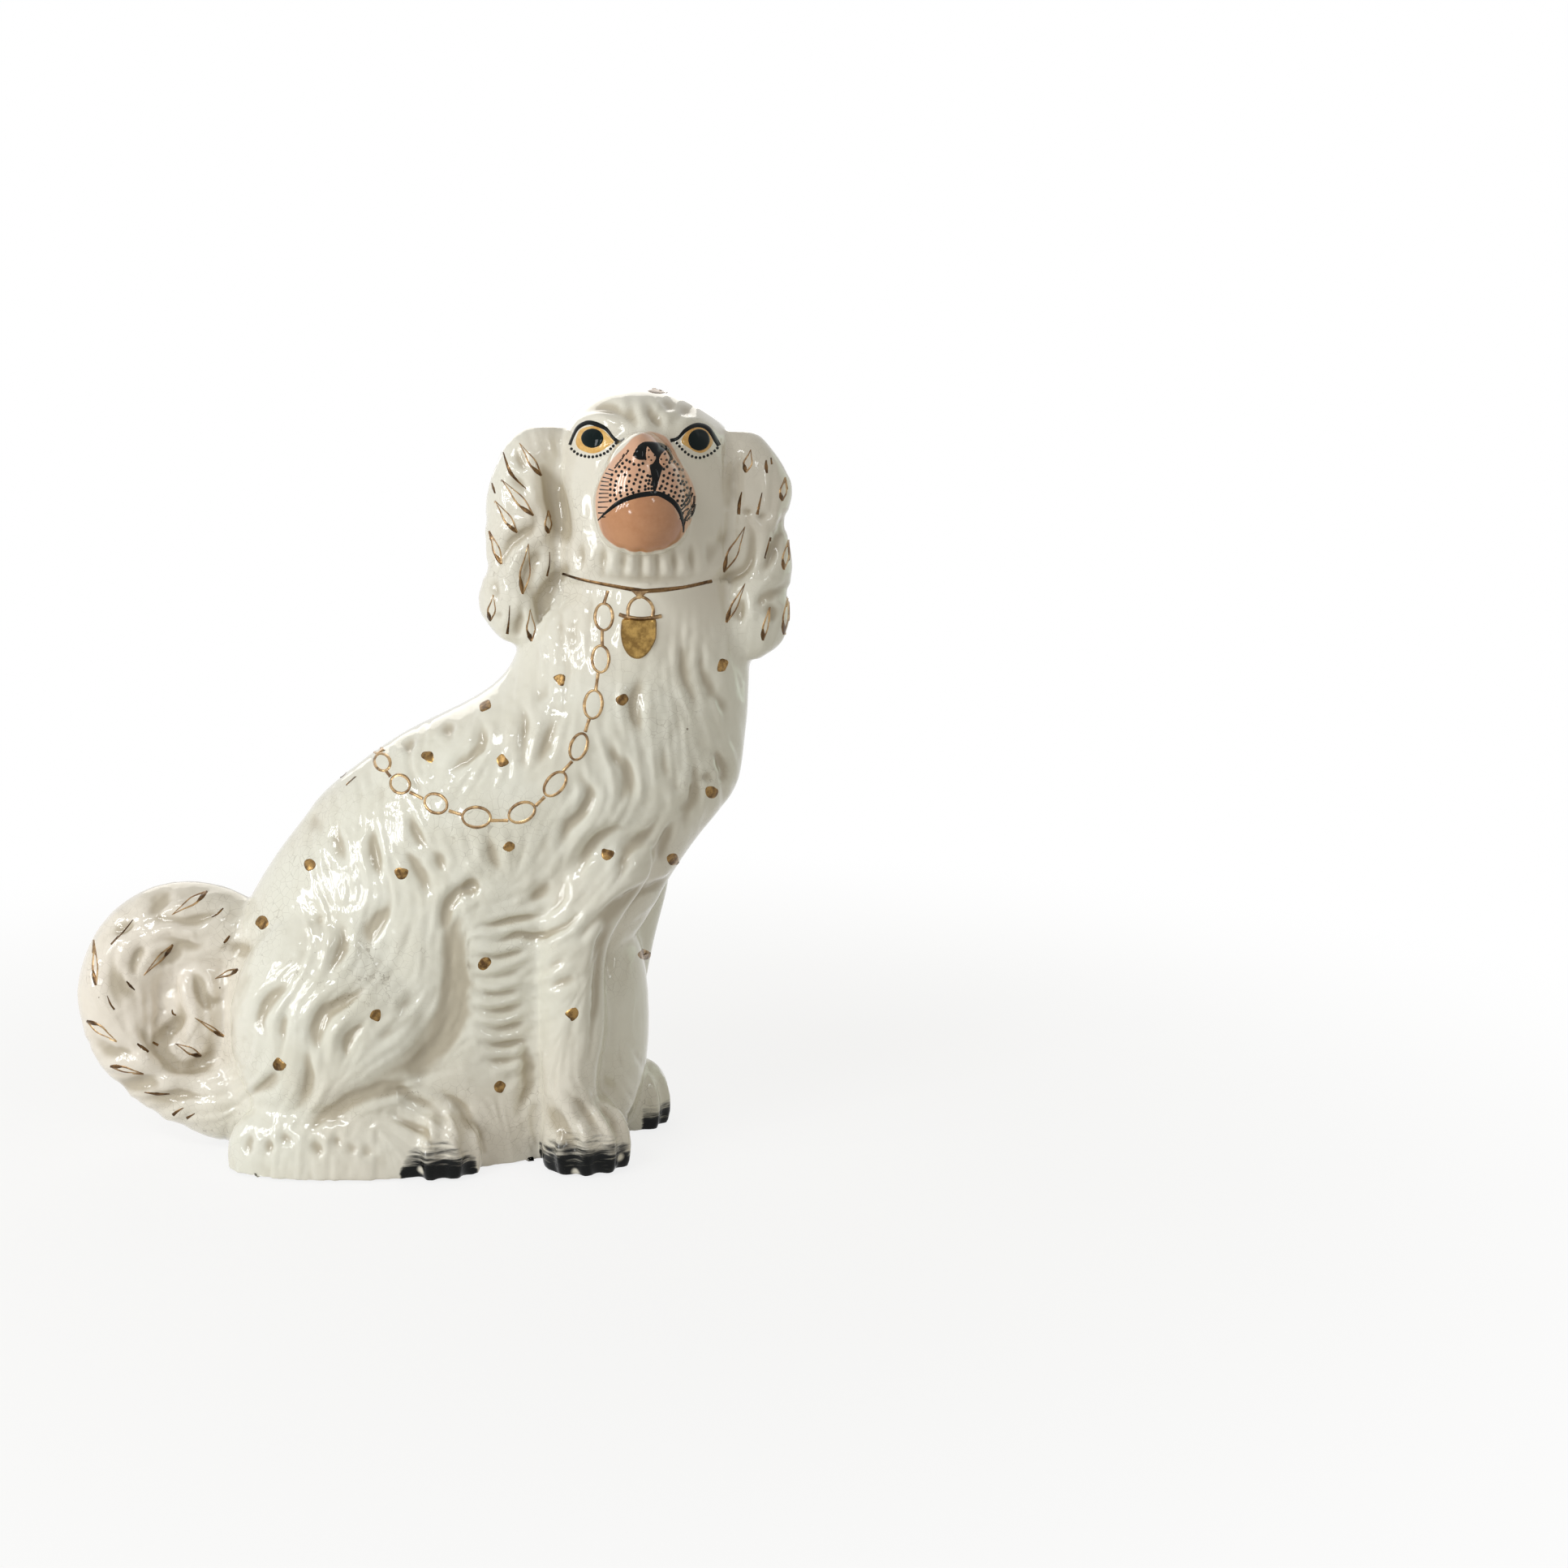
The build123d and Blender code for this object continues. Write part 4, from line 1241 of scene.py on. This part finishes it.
def enamel(name, first, second, roughness, scale=160.0, shine=0.3):
    """Glossy enamel whose colour wavers between two tones, as brushed on by hand."""
    material, tree, shader = new_finish(name, roughness)
    shader.inputs["Specular IOR Level"].default_value = shine
    brush = placed(tree, brushing, wear_scale=scale)
    share = ramp(tree, brush.outputs["Wear"], 0.3, 0.7)
    tree.links.new(blend_colours(tree, share, first, second), shader.inputs["Base Color"])
    raise_by(tree, shader, brush.outputs["Streaks"], 0.1 * millimetre, 0.4)
    return material


# Colours as they look in plain light
glaze_light = (0.78, 0.765, 0.68)
glaze_warm = (0.73, 0.705, 0.605)
glaze_rosy = (0.74, 0.69, 0.60)
# Colour of the furrows: pooled glaze, darkened further as painted shade
pooled_glaze_and_shade = (0.40, 0.335, 0.23)
tail_rosy = (0.80, 0.715, 0.63)
tail_middle = (-0.135, 0.0, 0.065)
tail_rosy_reach = 90 * millimetre
stain_brown = (0.16, 0.11, 0.06)
flesh_light = (0.74, 0.45, 0.30)
flesh_deep = (0.66, 0.37, 0.235)
# Chin flesh: its own darker paint, deepened further as painted shade under the muzzle
chin_flesh_and_shade = (0.53, 0.255, 0.12)
deep_chin_flesh_and_shade = (0.44, 0.19, 0.08)
enamel_black = (0.004, 0.005, 0.005)

# Where the glaze is stained, and where its black is chipped
stain_pixels = ((375, 1195), (452, 1182), (483, 1205), (432, 1222), (490, 1344), (505, 1350), (642, 1415))
stain_reach = 14 * millimetre
chip_pixels = ((708, 1447), (764, 1426), (519, 1442))
chip_reach = 2.6 * millimetre
stain_spots = [tuple(glaze_spot(x, y, 0)) for x, y in stain_pixels]
chip_spots = [tuple(glaze_spot(x, y, 0)) for x, y in chip_pixels]

cream = cream_glaze()
line_gold = gilding("line_gilding", (0.055, 0.028, 0.012), (0.17, 0.095, 0.038), 0.28)
thin_gold = gilding("thin_gilding", (0.16, 0.09, 0.045), (0.42, 0.28, 0.14), 0.28)
# The coat spots' gold is dark brown: partly worn gilding, partly painted dark reflection of the surroundings
spot_gold = gilding("spot_gilding", (0.085, 0.045, 0.017), (0.33, 0.20, 0.07), 0.25)
chain_gold = gilding("chain_gilding", (0.17, 0.10, 0.05), (0.50, 0.34, 0.17), 0.25)
lock_gold = gilding("padlock_gilding", (0.20, 0.115, 0.032), (0.46, 0.29, 0.09), 0.2)
black = enamel("black_enamel", (0.003, 0.004, 0.004), (0.006, 0.008, 0.008), 0.06, shine=0.12)
nostril_flesh = enamel("nostril_flesh", flesh_light, flesh_deep, 0.12, 60.0)
amber = enamel("amber_iris", (0.78, 0.50, 0.17), (0.60, 0.30, 0.06), 0.08, 220.0)
pupil_green = enamel("pupil_enamel", (0.001, 0.006, 0.006), (0.002, 0.009, 0.009), 0.04, shine=0.1)


def dots(places, radius, lift=paint_lift):
    """Small round dabs of paint at pixels."""
    return [brush_patch(turned_oval(x, y, 2 * radius, 2.2 * radius, 20, 6), lift, 2) for x, y in places]


# Mouth and nose
mouth_widths = (1.6, 4, 6, 6.5, 7, 6.5, 7, 6.5, 4.5, 1.6)
nose_arch = (
    (779, 562), (782, 554), (787, 548), (794, 544), (806, 544), (817, 546), (824, 550), (828, 557),
    (830, 566), (824, 569), (810, 570), (795, 567), (786, 567),
)
nose_wedge = (
    (809, 564), (814, 570), (818, 574), (815, 582), (812, 592), (808, 606), (805, 606), (803, 590),
    (801, 579), (800, 573), (804, 570),
)
left_nostril = ((797, 549), (803, 556), (809, 564), (802, 573), (795, 564))
right_nostril = ((819, 554), (824, 560), (825, 566), (817, 577), (811, 566))
mouth = [brush_line(mouth_line + (mouth_end,), mouth_widths, line_lift)]
finish_paint("mouth_line", mouth, black, "black_enamel")
nose = [brush_patch(nose_arch, paint_lift, 8), brush_patch(nose_wedge, paint_lift, 6)]
finish_paint("nose_enamel", nose, black, "black_enamel", "nose")
nostrils = [brush_patch(outline, nostril_lift, 5) for outline in (left_nostril, right_nostril)]
finish_paint("nostril_flesh", nostrils, nostril_flesh, "glazed_earthenware")

# Whisker marks: dots, the comb of short strokes at the edge of the muzzle, and the hairs at its other side
whisker_left = (
    (772, 567), (767, 571), (776, 569), (763, 575), (770, 576), (775, 578), (759, 581), (766, 581),
    (788, 579), (793, 581), (792, 571), (787, 573), (781, 572), (754, 585), (762, 586), (785, 585),
    (798, 586), (801, 587), (791, 588), (759, 593), (775, 593), (783, 591), (796, 592), (800, 592),
    (804, 594), (753, 591), (758, 598), (781, 596), (789, 594), (799, 596), (803, 597), (765, 601),
    (772, 599), (788, 600), (795, 599), (752, 597), (757, 604), (772, 604), (778, 603), (795, 603),
    (799, 602), (803, 602), (752, 603), (764, 607), (773, 609), (780, 607), (787, 605), (757, 610),
    (765, 611), (752, 610), (759, 615), (752, 617), (770, 585), (776, 586),
)
whisker_right = (
    (831, 569), (825, 570), (835, 572), (822, 575), (818, 578), (831, 579), (837, 578), (841, 579),
    (825, 583), (818, 586), (830, 585), (836, 586), (842, 587), (823, 589), (817, 593), (829, 592),
    (836, 592), (841, 593), (846, 594), (822, 596), (815, 599), (813, 602), (828, 599), (834, 600),
    (839, 596), (843, 597), (847, 601), (820, 602), (827, 605), (832, 607), (839, 605), (843, 604),
    (824, 610), (830, 612), (837, 611), (842, 612), (846, 610), (835, 617), (841, 617), (846, 616),
    (818, 607), (840, 623), (843, 621), (850, 607), (849, 613),
)
nostril_dots = (
    (799, 555), (806, 561), (799, 563), (802, 567), (818, 560), (814, 566), (820, 567), (817, 572),
)
comb_strokes = (
    ((750, 578), (756, 580)), ((746, 583), (754, 585)), ((743, 588), (752, 590)), ((741, 593), (750, 594)),
    ((740, 598), (750, 599)), ((739, 603), (750, 604)), ((738, 608), (750, 608)), ((738, 613), (750, 613)),
    ((737, 619), (750, 618)), ((737, 625), (749, 625)), ((737, 632), (747, 632)), ((741, 637), (746, 637)),
    ((757, 577), (762, 572)), ((761, 571), (766, 567)), ((766, 566), (770, 560)), ((771, 560), (775, 555)),
)
side_hairs = (
    ((838, 640), (841, 632), (848, 626)), ((841, 648), (845, 637), (852, 629)),
    ((840, 628), (848, 619), (853, 607)), ((841, 623), (848, 611), (851, 600)),
    ((846, 642), (853, 632), (856, 621)), ((847, 633), (854, 621), (855, 611)),
)
whisker_dots = dots(whisker_left + whisker_right, 2.1) + dots(nostril_dots, 1.8, nostril_dot_lift)
whisker_hairs = [brush_line(line, (2.2, 1.6, 1.3)) for line in comb_strokes + side_hairs]
finish_paint("whisker_marks", whisker_dots + whisker_hairs, black, "black_enamel")

# Eyes: each lid line is its corners and its widths, and each row of lashes is cut to a count of dots
left_iris = (
    (709, 543), (713, 531), (722, 526), (733, 525), (744, 530), (752, 538), (757, 544), (750, 550),
    (741, 556), (730, 559), (718, 556), (711, 551),
)
right_iris = (
    (839, 543), (844, 534), (852, 528), (862, 526), (871, 530), (877, 538), (879, 545), (874, 553),
    (866, 558), (857, 557), (847, 551), (841, 547),
)
left_lid = (
    (702, 548), (705, 540), (711, 528), (720, 522), (729, 521), (746, 528), (756, 540), (763, 544),
    (769, 540),
)
right_lid = ((826, 543), (835, 540), (845, 530), (858, 524), (871, 527), (880, 539), (886, 549))
left_lashes = ((704, 553), (711, 559), (720, 562), (729, 563), (739, 561), (749, 556), (759, 546))
right_lashes = ((834, 546), (841, 554), (850, 561), (861, 564), (872, 561), (880, 556), (884, 552))
finish_paint("left_iris", [brush_patch(left_iris, iris_lift, 12)], amber, "eye_enamel", "left_eye")
finish_paint("right_iris", [brush_patch(right_iris, iris_lift, 12)], amber, "eye_enamel", "right_eye")
pupil_ovals = (turned_oval(730, 540, 29, 25, 0), turned_oval(861, 542, 28, 28, 0))
pupils = [brush_patch(oval, pupil_lift, 10) for oval in pupil_ovals]
finish_paint("pupils", pupils, pupil_green, "eye_enamel")
lids = [
    brush_line(left_lid, (4.5, 4.0, 5.5, 6, 6.5, 5.6, 4, 4.8, 3.2), line_lift),
    brush_line(right_lid, (5, 4, 5.5, 6.5, 6.8, 7, 6), line_lift),
]
lashes = dots(cut_evenly(smooth_line(left_lashes, 1.0), 13), 2.1)
lashes += dots(cut_evenly(smooth_line(right_lashes, 1.0), 12), 2.0)
finish_paint("eyelid_lines", lids + lashes, black, "black_enamel")

# Gilt locks of the ears and tail: leaves are outlines of a width, dabs are single strokes with their widths
left_ear_leaves = (
    ((640, 546), (667, 586), 8), ((618, 591), (657, 635), 10), ((610, 617), (637, 656), 9),
    ((675, 629), (676, 657), 8), ((603, 654), (618, 695), 8), ((651, 670), (644, 732), 12),
    ((608, 733), (604, 765), 9), ((653, 751), (655, 790), 10),
)
left_ear_dabs = (
    (((620, 557), (624, 570), (629, 582), (637, 592), (648, 602)), (1.5, 3.5, 5, 2.6, 1.4)),
    (((606, 595), (608, 602), (610, 608)), (2, 3.6, 2)),
    (((677, 680), (677, 695), (674, 710)), (1, 1.6, 3.2)),
    (((628, 746), (627, 764), (625, 781)), (1, 1.8, 4.4)),
)
right_ear_leaves = (
    ((925, 554), (919, 582), 10), ((967, 588), (964, 617), 8), ((918, 649), (892, 705), 12),
    ((971, 665), (966, 702), 7), ((918, 719), (895, 767), 7), ((948, 748), (940, 789), 6),
    ((971, 731), (966, 782), 6),
)
right_ear_dabs = (
    (((944, 567), (944, 575), (945, 583)), (2, 5.4, 3)),
    (((950, 564), (951, 572)), (2, 3)),
    (((914, 606), (911, 620), (910, 634)), (1.4, 4.6, 4.8)),
    (((939, 607), (936, 620), (933, 634)), (1.2, 2.8, 4)),
    (((949, 662), (946, 674), (942, 688)), (1.4, 2.8, 1.6)),
)
tail_leaves = (
    ((212, 1127), (255, 1098), 9), ((177, 1202), (213, 1164), 6), ((265, 1206), (293, 1194), 6),
    ((116, 1158), (118, 1214), 6), ((144, 1283), (107, 1258), 9), ((240, 1254), (276, 1277), 4),
    ((216, 1286), (248, 1301), 8), ((177, 1323), (136, 1314), 6),
)
tail_dabs = (
    (((261, 1130), (268, 1126), (275, 1119)), (1.2, 3, 2)),
    (((137, 1164), (152, 1148), (164, 1133)), (1, 2, 1.4)),
    (((276, 1162), (280, 1157), (283, 1153)), (3, 4, 2.4)),
    (((156, 1209), (160, 1214), (166, 1220)), (2, 4, 1.4)),
    (((132, 1227), (136, 1237), (141, 1244)), (1, 2.2, 2.8)),
    (((212, 1244), (213, 1249), (217, 1251)), (1.4, 3, 2)),
    (((169, 1286), (176, 1291), (183, 1296)), (2.4, 5.4, 3)),
    (((188, 1284), (195, 1288)), (3, 3.6)),
    (((178, 1346), (194, 1348), (209, 1348)), (1.4, 4.4, 1.4)),
    (((226, 1365), (219, 1369), (213, 1374)), (1.2, 3.4, 5)),
    (((240, 1372), (235, 1375), (230, 1378)), (1.2, 2.6, 4.2)),
)


def gilt_locks(name, leaves, dabs):
    """The gilt strokes that pick out the locks of an ear or the tail: thin outlines, then loaded dabs."""
    outlines = [line for start, tip, width in leaves for line in leaf(start, tip, width)]
    finish_paint(name + "_outlines", outlines, thin_gold, "gilding")
    tips = [loaded_tip(*one) for one in leaves] + [brush_line(line, widths) for line, widths in dabs]
    finish_paint(name + "_tips", tips, line_gold, "gilding")


gilt_locks("left_ear_gilding", left_ear_leaves, left_ear_dabs)
gilt_locks("right_ear_gilding", right_ear_leaves, right_ear_dabs)
gilt_locks("tail_gilding", tail_leaves, tail_dabs)

# Gilt spots of the coat, each a hand-dabbed blot
dab_draws = np.random.default_rng(11)


def blot(x, y):
    """An uneven blot of gilding with a few corners."""
    corners = []
    start = 2 * math.pi * dab_draws.random()
    for step in range(spot_corners):
        turn = start + 2 * math.pi * (step + 0.5 * dab_draws.random()) / spot_corners
        reach = spot_radius * (0.72 + 0.5 * dab_draws.random())
        corners.append((x + reach * math.cos(turn), y + reach * 1.05 * math.sin(turn)))
    return brush_patch(corners, spot_lift, 6)


# Two gilt spots at the outline, on the crown and the back, laid in the darkest gold: painted dark reflection
# of the surroundings seen at a grazing angle
crown_spot = ((797, 482), (805, 479), (815, 479), (825, 482), (818, 485), (806, 485))
back_spot = ((414, 958), (418, 951), (425, 947), (431, 946), (428, 952), (420, 959))
finish_paint("gilt_spots", [blot(x, y) for x, y in gilt_spots], spot_gold, "gilding")
dark_reflection_spots = [brush_patch(outline, dark_spot_lift, 4) for outline in (crown_spot, back_spot)]
finish_paint("dark_reflection_spots", dark_reflection_spots, line_gold, "gilding")

# Chain, collar and padlock
link_widths = (4.2, 3.2, 4.4, 3.4, 4.2)
collar_widths = (3, 3.8, 4.6, 5.8, 5.8, 4.4, 4.6)
staple = ((776, 727), (788, 728), (802, 728), (796, 731), (791, 736), (788, 739), (785, 736), (781, 731))
shackle = ((774, 761), (774, 750), (778, 741), (786, 736), (793, 736), (801, 742), (805, 751), (804, 760))
lock_bar = ((763, 757), (772, 760), (789, 762), (805, 761), (815, 759))
padlock = (
    (767, 763), (775, 762), (789, 763), (800, 762), (808, 763), (809, 776), (808, 788), (802, 800),
    (794, 809), (785, 812), (775, 808), (768, 797), (765, 784), (765, 773),
)
ovals = [brush_line(turned_oval(*oval), link_widths, link_lift, True) for oval in link_ovals]
finish_paint("chain_oval_gilding", ovals, chain_gold, "gilding", "chain_oval_links")
bars = [brush_line(bar, (4.6, 4.0, 4.6), link_bar_lift) for bar in link_bars]
finish_paint("chain_bar_gilding", bars, chain_gold, "gilding", "chain_bar_links")
collar = [brush_line(collar_line, collar_widths, collar_lift)]
finish_paint("collar_gilding", collar, line_gold, "gilding", "collar")
finish_paint("staple_gilding", [brush_patch(staple, staple_lift, 5)], chain_gold, "gilding", "collar_staple")
loop = [brush_line(shackle, (4.6, 4.8, 4.2, 4.2, 4.0, 4.0, 4.6), shackle_lift)]
finish_paint("shackle_gilding", loop, chain_gold, "gilding", "padlock_shackle")
bar = [brush_line(lock_bar, (5, 5.6, 4.2, 4.2, 5.6, 5), lock_bar_lift)]
finish_paint("lock_bar_gilding", bar, chain_gold, "gilding", "padlock_bar")
lock = [brush_patch(padlock, padlock_lift, 10)]
finish_paint("padlock_gilding", lock, lock_gold, "gilding", "padlock_body")

split_skin(skin)
coat_with(nodes["base_plate"], cream)

# Camera, floor and light
bpy.ops.object.camera_add(location=camera_place, rotation=(math.pi / 2 - camera_dip, 0, 0))
camera = bpy.context.object
camera.data.sensor_width = sensor_width
camera.data.lens = focal_pixels / photo_side * sensor_width
bpy.context.scene.camera = camera


floor_side = 12
floor_drop = 0.2 * millimetre
floor_colour = (0.82, 0.81, 0.79, 1)
surround_colour = (1.0, 0.92, 0.76, 1)
surround_strength = 0.30
daylight = (0.94, 0.98, 1.0)
garden_green = (0.72, 0.95, 0.72)
room_warm = (1.0, 0.96, 0.88)
figure_middle = (0, 0, 0.16)

# A window of four narrow panes, each a step to the right of the one before
pane_count = 4
first_bearing = 67
bearing_step = 10
window_distance = 1.25
window_height = 0.37
pane_size = (0.10, 0.40)
pane_watts = 1.9

# The other lamps: the place, width, height, watts and colour of each
lamps = {
    "window_left_high": ((-0.45, -0.75, 1.0), 0.5, 0.16, 3.4, daylight),
    "window_right": ((0.75, -1.0, 0.75), 0.10, 0.45, 1.2, daylight),
    "garden_side": ((0.9, 0.6, 0.4), 0.7, 0.7, 0.9, garden_green),
    "room_behind": ((-0.3, 1.3, 0.9), 1.2, 0.9, 5.0, room_warm),
}


def white_if_seen(tree):
    """A mask that is 1 for the rays that see the stage directly, in gloss or through glass."""
    path = tree.nodes.new("ShaderNodeLightPath")
    seen = sums(tree, "MAXIMUM", path.outputs["Is Camera Ray"], path.outputs["Is Glossy Ray"])
    return sums(tree, "MAXIMUM", seen, path.outputs["Is Transmission Ray"])


def mix_to_white(tree, share, plain, white, output):
    """Shows a plain shader, or a white one by a share, at a tree's output."""
    mix = tree.nodes.new("ShaderNodeMixShader")
    tree.links.new(share, mix.inputs[0])
    tree.links.new(plain.outputs[0], mix.inputs[1])
    tree.links.new(white.outputs[0], mix.inputs[2])
    tree.links.new(mix.outputs[0], tree.nodes[output].inputs["Surface"])


def pale_floor():
    """A plain pale floor that keeps the shadow and fades to white away from the object."""
    bpy.ops.mesh.primitive_plane_add(size=floor_side, location=(0, 0, -floor_drop))
    floor = bpy.context.object
    floor.name = "floor"
    material = bpy.data.materials.new("pale_floor")
    material.use_nodes = True
    tree = material.node_tree
    shader = tree.nodes["Principled BSDF"]
    shader.inputs["Base Color"].default_value = floor_colour
    shader.inputs["Roughness"].default_value = 0.9
    white = tree.nodes.new("ShaderNodeEmission")
    place = tree.nodes.new("ShaderNodeTexCoord").outputs["Object"]
    away = tree.nodes.new("ShaderNodeVectorMath")
    away.operation = "LENGTH"
    tree.links.new(place, away.inputs[0])
    fading = ramp(tree, away.outputs["Value"], 0.2, 0.7, 0.82, 1.0)
    share = sums(tree, "MULTIPLY", white_if_seen(tree), fading)
    mix_to_white(tree, share, shader, white, "Material Output")
    floor.data.materials.append(material)


def white_studio():
    """A white surround that lights softly and shows as pure white."""
    world = bpy.data.worlds.new("studio")
    bpy.context.scene.world = world
    world.use_nodes = True
    tree = world.node_tree
    surround = tree.nodes["Background"]
    surround.inputs["Color"].default_value = surround_colour
    surround.inputs["Strength"].default_value = surround_strength
    white = tree.nodes.new("ShaderNodeBackground")
    white.inputs["Color"].default_value = (1, 1, 1, 1)
    mix_to_white(tree, white_if_seen(tree), surround, white, "World Output")


def soft_light(name, place, width, height, watts, colour):
    """A rectangular studio lamp that looks at the middle of the figure."""
    bpy.ops.object.light_add(type="AREA", location=place)
    lamp = bpy.context.object
    lamp.name = name
    lamp.data.shape = "RECTANGLE"
    lamp.data.size, lamp.data.size_y = width, height
    lamp.data.energy = watts
    lamp.data.color = colour
    aim = Vector(figure_middle) - Vector(place)
    lamp.rotation_euler = aim.to_track_quat("-Z", "Y").to_euler()


pale_floor()
white_studio()
for number in range(pane_count):
    bearing = math.radians(first_bearing - bearing_step * number)
    place = (-window_distance * math.sin(bearing), -window_distance * math.cos(bearing), window_height)
    soft_light(f"window_pane_{number}", place, *pane_size, pane_watts, daylight)
for name, lamp in lamps.items():
    soft_light(name, *lamp)

bpy.context.scene.view_settings.view_transform = "Standard"
